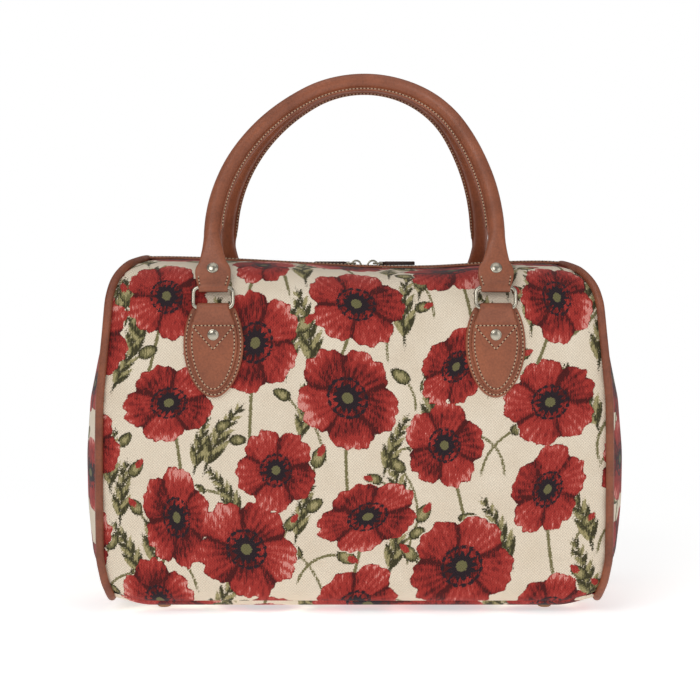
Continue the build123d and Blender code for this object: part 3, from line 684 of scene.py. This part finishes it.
for name, side in (("front", -1), ("back", 1)):
    mesh, along, round_share = unit_sheet(name + "_zip_binding", 180, 32)
    angle = round_share * 2 * math.pi
    place = front_height - BINDING_WIDTH / 2 + BINDING_WIDTH / 2 * squared(np.cos(angle), 0.35)
    proud = BINDING_LIFT + BINDING_THICKNESS / 2 * (1 + squared(np.sin(angle), 0.5))
    proud -= BINDING_LIFT * np.abs(np.cos(angle))
    y, z = along_line(front_profile, place).T
    x = (2 * along - 1) * (end_reach(y, z) - 0.9 * PIPING_RADIUS)
    shape_sheet(mesh, settle(np.column_stack((x, -side * y, z + proud))))
    close_seams(mesh)
    show(name + "_zip_binding", mesh, leather, name + "_zip_binding")
    rows = []
    for edge in BINDING_SEAMS:
        y, z = along_line(front_profile, np.array((front_height - edge,)))[0]
        x = np.linspace(-ZIP_HALF_LENGTH, ZIP_HALF_LENGTH, 120)
        level = np.full(len(x), z + BINDING_LIFT + BINDING_THICKNESS)
        rows.append(settle(np.column_stack((x, np.full(len(x), -side * y), level))))
    stitch_rows(name + "_binding_stitches", rows, "bag")

    mesh, along, up = unit_sheet(name + "_zip_tape", 150, 10)
    x = (2 * along - 1) * ZIP_HALF_LENGTH
    y = TAPE_INNER + up * TAPE_WIDTH
    edge = settle(np.column_stack((x, y, np.full(len(x), DECK_HEIGHT))))[:, 2] - DECK_HEIGHT
    shape_sheet(mesh, np.column_stack((x, side * y, TAPE_TOP + edge * ramp(0.0035, 0.0075, y))))
    close_seams(mesh)
    solid = bmesh.new()
    solid.from_mesh(mesh)
    bmesh.ops.solidify(solid, geom=solid.faces[:], thickness=TAPE_THICKNESS)
    bmesh.ops.recalc_face_normals(solid, faces=solid.faces)
    solid.to_mesh(mesh)
    solid.free()
    show(name + "_zip_tape", mesh, tape_weave, name + "_zip_tape")

    teeth = bmesh.new()
    shift = 0 if side < 0 else TOOTH_PITCH / 2
    for tooth in range(int(2 * ZIP_HALF_LENGTH / TOOTH_PITCH)):
        x = -ZIP_HALF_LENGTH + TOOTH_PITCH * (tooth + 0.5) + shift
        spot = Matrix.Translation((x, side * (TOOTH_INNER + TOOTH_OUTER) / 2, TAPE_TOP + TOOTH_LIFT))
        bmesh.ops.create_cube(teeth, size=1, matrix=spot @ Matrix.Diagonal((*TOOTH_SIZE, 1)))
    bmesh.ops.bevel(teeth, geom=teeth.edges[:], offset=TOOTH_ROUNDING, offset_type="OFFSET", segments=1,
                    profile=0.5, affect="EDGES", material=-1)
    mesh = made_mesh(name + "_zip_chain", teeth)
    show(name + "_zip_chain", mesh, nickel, name + "_zip_chain")

# Zip sliders and pulls
# Two die-cast nickel sliders meet near the middle. Each carries a stamped eye with a folded tab of dark
# leather, and both tabs lie outwards along the zip.
dark_leather = leather_finish("dark brown leather", "#3b2018", "#24120d", 0.5)


def softened(node, width, segments, finish, body):
    """A CAD piece with its sharp edges rounded over."""
    bm = bmesh.new()
    bm.from_mesh(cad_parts[node].data)
    bmesh.ops.remove_doubles(bm, verts=bm.verts, dist=1e-6)
    bmesh.ops.dissolve_limit(bm, angle_limit=math.radians(1), verts=bm.verts, edges=bm.edges)
    sharp = [e for e in bm.edges if len(e.link_faces) == 2 and e.calc_face_angle(0) > math.radians(25)]
    bmesh.ops.bevel(bm, geom=sharp, offset=width, offset_type="OFFSET", segments=segments, profile=0.5,
                    affect="EDGES", clamp_overlap=True, material=-1)
    bmesh.ops.triangulate(bm, faces=bm.faces)
    mesh = made_mesh(node, bm)
    show(node, mesh, finish, node, body)
    mesh.set_sharp_from_angle(angle=math.radians(40))


SLIDER_ROUNDING = 0.00022
LOOP_ROUNDING = 0.0003
TAB_ROUNDING = 0.0006
TAB_SEAM_INSET = 0.0014
TAB_FOLD_INSET = 0.0052
TAB_STITCH = (0.0026, 0.0017, 0.0003)
for side in ("left", "right"):
    pull = side + "_pull"
    softened(side + "_slider", SLIDER_ROUNDING, 2, nickel, side + "_slider")
    softened(pull + "_loop", LOOP_ROUNDING, 2, nickel, pull)
    softened(pull + "_tab", TAB_ROUNDING, 3, dark_leather, pull)
    low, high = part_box(pull + "_tab")
    near_x, far_x = low.x + TAB_SEAM_INSET, high.x - TAB_SEAM_INSET
    if side == "left":
        far_x = min(far_x, high.x - TAB_FOLD_INSET)
    else:
        near_x = max(near_x, low.x + TAB_FOLD_INSET)
    near_y, far_y = low.y + TAB_SEAM_INSET, high.y - TAB_SEAM_INSET
    row = [(near_x, near_y), (far_x, near_y), (far_x, far_y), (near_x, far_y), (near_x, near_y)]
    stitch_rows(pull + "_stitches", [np.array([(x, y, high.z) for x, y in row])], pull, *TAB_STITCH)

# Handle patches and chapes
# An oval of leather is sewn to the cloth at each end of each handle. On it sits a tongue that folds
# over the lower bar of the ring, sewn round its edge and across under the fold.
LEATHER = 0.0018
TONGUE = 0.0024
RING_BAR = (0.0997443, 0.240)
FOLD_RADIUS = 0.00375
PATCH_MIDDLE = 0.211
PATCH_HALF = (0.0235, 0.041)
TONGUE_HALF = (0.019, 0.0365)
PATCH_TOP = 0.2405
PATCH_SINK = 0.0006
TONGUE_SINK = 0.0002
TONGUE_TOP = RING_BAR[1] - 0.002
NECK_FOOT = 0.227
NECK_HALF = 0.0125
NECK_START = TONGUE_HALF[0] * 0.9
LEATHER_ROUNDING = 0.0012
FOLD_TAPER = 0.0011
FOLD_DROP = 0.0095
PATCH_SEAM_INSET = 0.0022
TONGUE_SEAM_INSET = 0.0024
CROSS_SEAM = (0.0165, 0.2262)
CHEVRON_FOOT = 0.2075
CHAPE_RIVET_HEIGHT = 0.219
CHAPE_RIVET = (0.0044, 0.0019)
patch_middle = np.array((0, PATCH_MIDDLE))


def wall_depth(z):
    """Half the depth of the bag at a height on its wall."""
    return np.sqrt(wall_radius**2 - (z - wall_centre[1]) ** 2) - wall_centre[0]


def on_wall(flat, level, side, x_middle):
    """Points of a flat drawing, laid at a level on the front or back wall."""
    x, z = flat.T
    return np.column_stack((x + x_middle, side * (wall_depth(z) + level), z))


def leather_oval(name, outline, inner, outer, side, x_middle):
    """A thick flat piece of leather with a rounded rim, laid on the wall."""
    mesh, along, up = unit_sheet(name, 112, 26)
    loop = np.vstack((outline, outline[:1]))
    rim = along_line(loop, along * line_length(loop)) - patch_middle
    share = 1 - np.abs(2 * up - 1)
    flat_share = 0.75
    radius = np.linalg.norm(rim, axis=1)
    edge = LEATHER_ROUNDING
    flat = share / flat_share * (1 - edge / radius)
    rounded = 1 - edge / radius * (1 - (share - flat_share) / (1 - flat_share))
    spread = np.where(share < flat_share, flat, rounded)
    bend = np.clip((spread * radius - radius + edge) / edge, 0, 1)
    drop = (outer - inner) / 2 * np.sqrt(np.maximum(1 - bend**2, 0))
    level = (outer + inner) / 2 + np.where(up < 0.5, drop, -drop)
    shape_sheet(mesh, on_wall(patch_middle + rim * spread[:, None], level, side, x_middle))
    close_seams(mesh, 1e-6)
    return mesh


def egg(half, narrowing, power):
    """An oval outline that narrows towards its foot."""
    turns = np.linspace(0, 2 * math.pi, 160, endpoint=False)
    x = half[0] * np.cos(turns) * (1 - narrowing * np.clip(-np.sin(turns), 0, 1) ** power)
    return np.column_stack((x, PATCH_MIDDLE + half[1] * np.sin(turns)))


patch_outline = egg(PATCH_HALF, 0.08, 1.5)
patch_outline[:, 1] = np.minimum(patch_outline[:, 1], PATCH_TOP)
x, z = egg(TONGUE_HALF, 0.16, 1.2).T
neck_share = np.clip((z - NECK_FOOT) / (TONGUE_TOP - NECK_FOOT), 0, 1)
neck_limit = NECK_START + (NECK_HALF - NECK_START) * ramp(0, 1, neck_share)
x = np.where(z > NECK_FOOT, np.clip(x, -neck_limit, neck_limit), x)
tongue_outline = np.column_stack((x, np.minimum(z, TONGUE_TOP)))


def shrunk(outline, amount):
    """An outline drawn in towards its middle."""
    out = outline - patch_middle
    size = np.linalg.norm(out, axis=1)[:, None]
    return patch_middle + out * (size - amount) / size


def lathe(bm, profile, x=0, y=0):
    """Turn a profile of radii and heights round an upright line."""
    line = [bm.verts.new((x + radius, y, height)) for radius, height in profile]
    edges = [bm.edges.new(pair) for pair in zip(line, line[1:])]
    bmesh.ops.spin(bm, geom=line + edges, cent=(x, y, 0), axis=(0, 0, 1), angle=2 * math.pi, steps=32,
                   use_merge=True)
    bmesh.ops.remove_doubles(bm, verts=bm.verts, dist=1e-6)
    bmesh.ops.recalc_face_normals(bm, faces=bm.faces)


def rivet_cap(name, size, spot, facing, node, body):
    """A domed cap with a rolled rim, turned on a lathe."""
    radius, height = size
    bm = bmesh.new()
    dome = [(0, height)] + [(radius * 0.86 * math.sin(t), height * (0.35 + 0.65 * math.cos(t)))
                            for t in np.linspace(0.2, 1.5, 7)]
    rim = [(radius * 0.92, height * 0.42), (radius, height * 0.25), (radius, 0), (0, 0)]
    lathe(bm, dome + rim)
    turn = Vector(facing).to_track_quat("Z", "X").to_matrix().to_4x4()
    bmesh.ops.transform(bm, matrix=Matrix.Translation(spot) @ turn, verts=bm.verts)
    show(name, made_mesh(name, bm), nickel, node, body)


for side_name, side in (("front", -1), ("back", 1)):
    for place_name, x_middle in (("left", -HARDWARE_X), ("right", HARDWARE_X)):
        name = f"{side_name}_{place_name}"
        mesh = leather_oval(name + "_patch", patch_outline, -PATCH_SINK, LEATHER, side, x_middle)
        show(name + "_patch", mesh, leather, side_name + "_patches")
        face = LEATHER + TONGUE
        mesh = leather_oval(name + "_tongue", tongue_outline, LEATHER - TONGUE_SINK, face, side, x_middle)
        show(name + "_tongue", mesh, leather, side_name + "_chapes")

        mesh, along, round_share = unit_sheet(name + "_fold", 24, 40)
        angle = round_share * 2 * math.pi
        squeeze = np.clip((1 - np.abs(2 * along - 1)) * 2 * NECK_HALF / LEATHER_ROUNDING, 0, 1)
        bulge = FOLD_RADIUS - FOLD_TAPER * (1 - np.sqrt(squeeze * (2 - squeeze)))
        tail = np.clip(-np.sin(angle), 0, 1)
        foot_depth = wall_depth(NECK_FOOT) + LEATHER + TONGUE / 2
        y = RING_BAR[0] + bulge * np.cos(angle)
        z = RING_BAR[1] + bulge * np.sin(angle)
        pull = ramp(0.05, 0.9, tail)
        y = y + pull * (foot_depth + (y - RING_BAR[0]) * 0.32 - y)
        z = z - pull * FOLD_DROP
        x = (2 * along - 1) * NECK_HALF
        flare = 1 + 0.3 * pull
        shape_sheet(mesh, np.column_stack((x * flare + x_middle, side * y, z)))
        close_seams(mesh)
        bm = bmesh.new()
        bm.from_mesh(mesh)
        bmesh.ops.holes_fill(bm, edges=[e for e in bm.edges if e.is_boundary], sides=0)
        bmesh.ops.recalc_face_normals(bm, faces=bm.faces)
        bm.to_mesh(mesh)
        bm.free()
        show(name + "_fold", mesh, leather)

        rows = []
        for outline, inset, top, level in (
            (patch_outline, PATCH_SEAM_INSET, PATCH_TOP, LEATHER),
            (tongue_outline, TONGUE_SEAM_INSET, NECK_FOOT, face),
        ):
            ring = shrunk(outline, inset)
            ring = ring[ring[:, 1] < top - 0.004]
            start = int(np.argmax(np.linalg.norm(np.diff(ring, axis=0), axis=1))) + 1
            rows.append(on_wall(np.roll(ring, -start, axis=0), level, side, x_middle))
        seam_end, seam_height = CROSS_SEAM
        seam_left, seam_right = (-seam_end, seam_height), (seam_end, seam_height)
        for line in ((seam_left, seam_right), (seam_left, (0, CHEVRON_FOOT), seam_right)):
            line = along_line(line, np.linspace(0, line_length(line), 40))
            rows.append(on_wall(line, face, side, x_middle))
        stitch_rows(name + "_patch_stitches", rows, "bag")

        spot = (x_middle, side * float(wall_depth(CHAPE_RIVET_HEIGHT) + face), CHAPE_RIVET_HEIGHT)
        rivet_cap(name + "_chape_rivet", CHAPE_RIVET, spot, (0, side, 0), "chape_rivets", "bag")

# Rings
# Bent nickel wire, rounded oblongs that swing in the folds of the chapes and carry the handle tabs.
RING_WIRE = 0.0016
RING_HALF = 0.0154
RING_BAR_SPACING = 0.016
RING_CORNER = 0.0042
RING_LEAN = math.radians(12)
ring_bend_x, ring_bend_rise = RING_HALF - RING_CORNER, RING_BAR_SPACING - 2 * RING_CORNER
for side_name, side in (("front", -1), ("back", 1)):
    for place_name, x_middle in (("left", -HARDWARE_X), ("right", HARDWARE_X)):
        bends = []
        for quarter, (right, top) in enumerate(((1, 0), (1, 1), (-1, 1), (-1, 0))):
            corner = np.array((right * ring_bend_x, RING_CORNER + top * ring_bend_rise))
            angle = math.pi / 2 * (quarter - 1 + np.linspace(0, 1, 9))
            bends.append(corner + RING_CORNER * np.column_stack((np.cos(angle), np.sin(angle))))
        flat_ring = np.vstack(bends)
        ring_line = np.column_stack((
            flat_ring[:, 0] + x_middle,
            side * (RING_BAR[0] - flat_ring[:, 1] * math.sin(RING_LEAN)),
            RING_BAR[1] + flat_ring[:, 1] * math.cos(RING_LEAN),
        ))
        rings = side_name + "_rings"
        wire = drawn_tube(ring_line, RING_WIRE, True, 5)
        show(f"{side_name}_{place_name}_ring", wire, nickel, rings, rings)

# Rolled handles
# A cord core rolled in leather and sewn along its inner side, where the two edges stand up as a lip.
# At each end the roll flattens into a tab that folds round the ring and is riveted.
HANDLE_RADIUS = 0.0065
LEG_RISE = 0.050
HANDLE_RISE = 0.1965
ARCH_HALF_SPAN = 0.113
ARCH_TOP_RADIUS = 0.089
ARCH_SHIFT = 0.0085
GRIP_BAR = (0.0964177, 0.2556504)
HANDLE_HALF_GAP = 0.0003
HANDLE_LEAN = math.asin((GRIP_BAR[0] - HANDLE_RADIUS - HANDLE_HALF_GAP) / HANDLE_RISE)
TAB_LENGTH = 0.054
TAB_RIVET = (0.0046, 0.0019)
TAB_RIVET_RISE = 0.0165
TAB_RIVET_SHIFT = 0.001
TAB_RIVET_LEVEL = 0.0022
TAB_SEAM = ((0.0116, 0.0100), (0.0109, 0.0050), (0.0099, 0.0005))
TAB_SEAM_SHIFT = 0.0003
LIP_START = 0.047
LIP_HALF_THICKNESS = 0.00135
LIP_SEAM = 0.0080
LIP_SEAM_START = LIP_START + 0.012
over = HANDLE_RISE - LEG_RISE - ARCH_TOP_RADIUS
top_centre = np.array((ARCH_SHIFT, HANDLE_RISE - ARCH_TOP_RADIUS))


def arch_side(end):
    """The handle's line from its left (-1) or right (1) ring to the top of the arch."""
    span = ARCH_HALF_SPAN - end * ARCH_SHIFT
    radius = (span**2 + over**2 - ARCH_TOP_RADIUS**2) / (2 * (span - ARCH_TOP_RADIUS))
    centre = np.array((end * (ARCH_HALF_SPAN - radius), LEG_RISE))
    meet = centre + (top_centre - centre) * radius / np.linalg.norm(top_centre - centre)
    return np.vstack((
        ((end * HARDWARE_X, -FOLD_RADIUS), (end * HARDWARE_X, 0), (end * ARCH_HALF_SPAN, LEG_RISE)),
        arc(centre, radius, (end * ARCH_HALF_SPAN, LEG_RISE), meet)[1:],
        arc(top_centre, ARCH_TOP_RADIUS, meet, (ARCH_SHIFT, HANDLE_RISE))[1:],
    ))


handle_line = np.vstack((arch_side(-1), arch_side(1)[::-1][1:]))
handle_length = line_length(handle_line)
FLARE = np.array((
    (0.0, 0.0222, 0.0008, 7.0), (0.0006, 0.0224, 0.0040, 7.0), (0.0016, 0.0226, 0.0060, 7.0),
    (0.0037, 0.0230, 0.0075, 7.0), (0.0057, 0.0240, 0.0071, 7.0), (0.0087, 0.0257, 0.0056, 7.0),
    (0.0127, 0.0273, 0.0047, 7.0), (0.0167, 0.0280, 0.0044, 6.5), (0.0198, 0.0276, 0.0044, 6.0),
    (0.0222, 0.0262, 0.0045, 5.6), (0.0242, 0.0240, 0.0052, 5.2), (0.0258, 0.0219, 0.0060, 4.8),
    (0.0280, 0.0207, 0.0064, 4.4), (0.0320, 0.0188, 0.0073, 3.8), (0.0380, 0.0164, 0.0090, 3.0),
    (0.0440, 0.0146, 0.0110, 2.4), (0.0500, 0.0134, 0.0124, 2.1), (0.0550, 0.0130, 0.0130, 2.0),
))


def handle_frame(places):
    """Middle of the handle and its inward direction at given distances along it, in its plane."""
    middle = along_line(handle_line, places)
    step = 0.004
    run = along_line(handle_line, np.minimum(places + step, handle_length)) - along_line(
        handle_line, np.maximum(places - step, 0))
    run /= np.linalg.norm(run, axis=1)[:, None]
    return middle, np.column_stack((run[:, 1], -run[:, 0]))


def stand_up(flat, out, side):
    """Points of the handle's plane, and how far they stand out of it, in the bag's frame."""
    x, rise = flat.T
    y = -GRIP_BAR[0] + rise * math.sin(HANDLE_LEAN) - out * math.cos(HANDLE_LEAN)
    z = GRIP_BAR[1] + rise * math.cos(HANDLE_LEAN) + out * math.sin(HANDLE_LEAN)
    return np.column_stack((x, -side * y, z))


def squircle(angle, power):
    """Corner-rounded box section: cosine and sine sides."""
    c, s = np.cos(angle), np.sin(angle)
    return np.sign(c) * np.abs(c) ** (2 / power), np.sign(s) * np.abs(s) ** (2 / power)


for side_name, side in (("front", -1), ("back", 1)):
    body = side_name + "_handle"
    mesh, along, round_share = unit_sheet(body, 300, 32)
    near_tab = along / 0.2 * TAB_LENGTH
    far_tab = handle_length - (1 - along) / 0.2 * TAB_LENGTH
    rolled = TAB_LENGTH + (along - 0.2) / 0.6 * (handle_length - 2 * TAB_LENGTH)
    share = np.where(along < 0.2, near_tab, np.where(along > 0.8, far_tab, rolled))
    middle, inward = handle_frame(share)
    from_end = np.minimum(share, handle_length - share)
    breadth, depth, power = (np.interp(from_end, FLARE[:, 0], column) for column in FLARE[:, 1:].T)
    wide, deep = squircle(round_share * 2 * math.pi, power)
    crumple = 1 + 0.012 * np.sin(share / 0.011) * np.sin(share / 0.027) * ramp(0.05, 0.08, from_end)
    flat = middle + inward * (wide * breadth / 2 * crumple)[:, None]
    shape_sheet(mesh, stand_up(flat, deep * depth / 2 * crumple, side))
    close_seams(mesh)
    show(body, mesh, leather, body, body)

    mesh, along, round_share = unit_sheet(body + "_lip", 220, 16)
    share = LIP_START + along * (handle_length - 2 * LIP_START)
    middle, inward = handle_frame(share)
    swell = ramp(0, 0.03, along * handle_length) * ramp(0, 0.03, (1 - along) * handle_length)
    wide, deep = squircle(round_share * 2 * math.pi, 3.2)
    flat = middle + inward * (0.0060 + 0.0014 * swell + wide * (0.0008 + 0.0012 * swell))[:, None]
    shape_sheet(mesh, stand_up(flat, deep * LIP_HALF_THICKNESS, side))
    close_seams(mesh)
    show(body + "_lip", mesh, leather, body=body)
    middle, inward = handle_frame(np.linspace(LIP_SEAM_START, handle_length - LIP_SEAM_START, 260))
    seam = middle + inward * LIP_SEAM
    lip_faces = (-LIP_HALF_THICKNESS, LIP_HALF_THICKNESS)
    rows = [stand_up(seam, np.full(len(seam), out), side) for out in lip_faces]
    for end in (-1, 1):
        for edge in (-1, 1):
            border = np.array(TAB_SEAM) * (edge, 1)
            border = along_line(border, np.linspace(0, line_length(border), 20))
            border[:, 0] += end * (HARDWARE_X + TAB_SEAM_SHIFT)
            thick = np.interp(border[:, 1] + FOLD_RADIUS, FLARE[:, 0], FLARE[:, 2]) / 2
            rows += [stand_up(border, face * thick, side) for face in (-1, 1)]
    stitch_rows(body + "_stitches", rows, body)
    for end_name, end in (("left", -1), ("right", 1)):
        for face_name, face in (("outer", 1), ("inner", -1)):
            spot = np.array(((end * (HARDWARE_X + TAB_RIVET_SHIFT), TAB_RIVET_RISE),))
            spot = stand_up(spot, np.array((face * TAB_RIVET_LEVEL,)), side)[0]
            start, out = stand_up(np.zeros((2, 2)), np.array((0, face)), side)
            name = f"{body}_{end_name}_{face_name}_rivet"
            rivet_cap(name, TAB_RIVET, spot, out - start, body + "_rivets", body)

# Feet, board and lining
# Moulded feet stand under the corners of a stiff board, and a plain lining hangs inside. Board and
# lining keep their CAD solids, since the closed zip hides them.
SCUFF_SIZE = 0.004
LINING_RIB = 0.002
FIBRE_SIZE = 0.002
FOOT_SPOT = (0.153, 0.062)
FOOT_PROFILE = (
    (0, 0), (0.0042, 0), (0.005, 0.0004), (0.0054, 0.0012), (0.0061, 0.0038), (0.0068, 0.0052), (0, 0.0052))
foot_plastic = two_shades("tan moulded plastic", 0.5, "TexNoise", {"Scale": 1 / SCUFF_SIZE, "Detail": 4.0},
                          "#8a6444", "#b98d66", relief=(0.1, 0.0003))
lining_cloth = two_shades("plain woven lining", 0.8, "TexWave",
                          {"Scale": WAVE_TURN / LINING_RIB, "Distortion": 1.0}, "#8f7a63", "#a8937a")
board_fibre = two_shades("pressed fibreboard", 0.9, "TexNoise", {"Scale": 1 / FIBRE_SIZE, "Detail": 4.0},
                         "#4a443d", "#6a6056")
bm = bmesh.new()
for x in (-FOOT_SPOT[0], FOOT_SPOT[0]):
    for y in (-FOOT_SPOT[1], FOOT_SPOT[1]):
        lathe(bm, FOOT_PROFILE, x, y)
show("feet", made_mesh("feet", bm), foot_plastic, "feet")
for node, finish in (("lining", lining_cloth), ("base_board", board_fibre)):
    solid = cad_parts[node].data
    solid.materials.clear()
    solid.materials.append(finish)

# Studio
# A pale floor that runs out of sight, large soft lamps and a white surround, seen from the front.
MOTTLE_SIZE = 0.2
FLOOR_GLOW = 0.56
FLOOR_HALF_SIZE = 6
paper = two_shades("white studio floor", 0.9, "TexNoise", {"Scale": 1 / MOTTLE_SIZE, "Detail": 2.0},
                   "#f4f4f3", "#f8f8f7")
tree = paper.node_tree
shader = tree.nodes["Principled BSDF"]
shader.inputs["Emission Color"].default_value = (1, 1, 1, 1)
shader.inputs["Emission Strength"].default_value = FLOOR_GLOW
place = add_node(tree, "TexCoord", {}).outputs["Object"]
away = add_node(tree, "VectorMath", {0: place}, operation="LENGTH")
fading = {0: away.outputs["Value"], 1: 0.35, 2: 1.1}
fade = add_node(tree, "MapRange", fading, interpolation_type="SMOOTHSTEP")
lit_white = add_node(tree, "Emission", {"Color": (1, 1, 1, 1), "Strength": 1.0})
spread = add_node(tree, "MixShader", {0: fade.outputs[0], 1: shader.outputs[0], 2: lit_white.outputs[0]})
tree.links.new(spread.outputs[0], tree.nodes["Material Output"].inputs["Surface"])
bm = bmesh.new()
bmesh.ops.create_grid(bm, x_segments=1, y_segments=1, size=FLOOR_HALF_SIZE)
mesh = made_mesh("floor", bm)
floor = bpy.data.objects.new("floor", mesh)
bpy.context.scene.collection.objects.link(floor)
mesh.materials.append(paper)

for name, spot, size, power in (
    ("key", (-0.9, -1.7, 1.5), 1.2, 15),
    ("fill", (1.3, -1.5, 0.9), 1.4, 7),
    ("top", (0.0, -0.2, 1.9), 1.4, 4.2),
):
    lamp = bpy.data.lights.new(name, "AREA")
    lamp.size = size
    lamp.energy = power
    holder = bpy.data.objects.new(name, lamp)
    aim = Vector((0, 0, 0.2)) - Vector(spot)
    holder.matrix_world = Matrix.Translation(spot) @ aim.to_track_quat("-Z", "Y").to_matrix().to_4x4()
    bpy.context.scene.collection.objects.link(holder)

SURROUND_LIGHT = 0.31
world = bpy.data.worlds.new("white surround")
bpy.context.scene.world = world
world.use_nodes = True
tree = world.node_tree
glow = tree.nodes["Background"]
path = add_node(tree, "LightPath", {})
seen = add_node(tree, "MapRange", {0: path.outputs["Is Camera Ray"], 3: SURROUND_LIGHT, 4: 1.0})
tree.links.new(seen.outputs[0], glow.inputs["Strength"])
glow.inputs["Color"].default_value = (1, 1, 1, 1)

camera = bpy.data.cameras.new("camera")
camera.sensor_width = 36
camera.lens = 75.1
viewer = bpy.data.objects.new("camera", camera)
viewer.location = (-0.0035, -1.235, 0.229)
viewer.rotation_euler = (math.radians(90 - 1.1), 0, 0)
bpy.context.scene.collection.objects.link(viewer)
bpy.context.scene.camera = viewer
bpy.context.scene.view_settings.view_transform = "Standard"
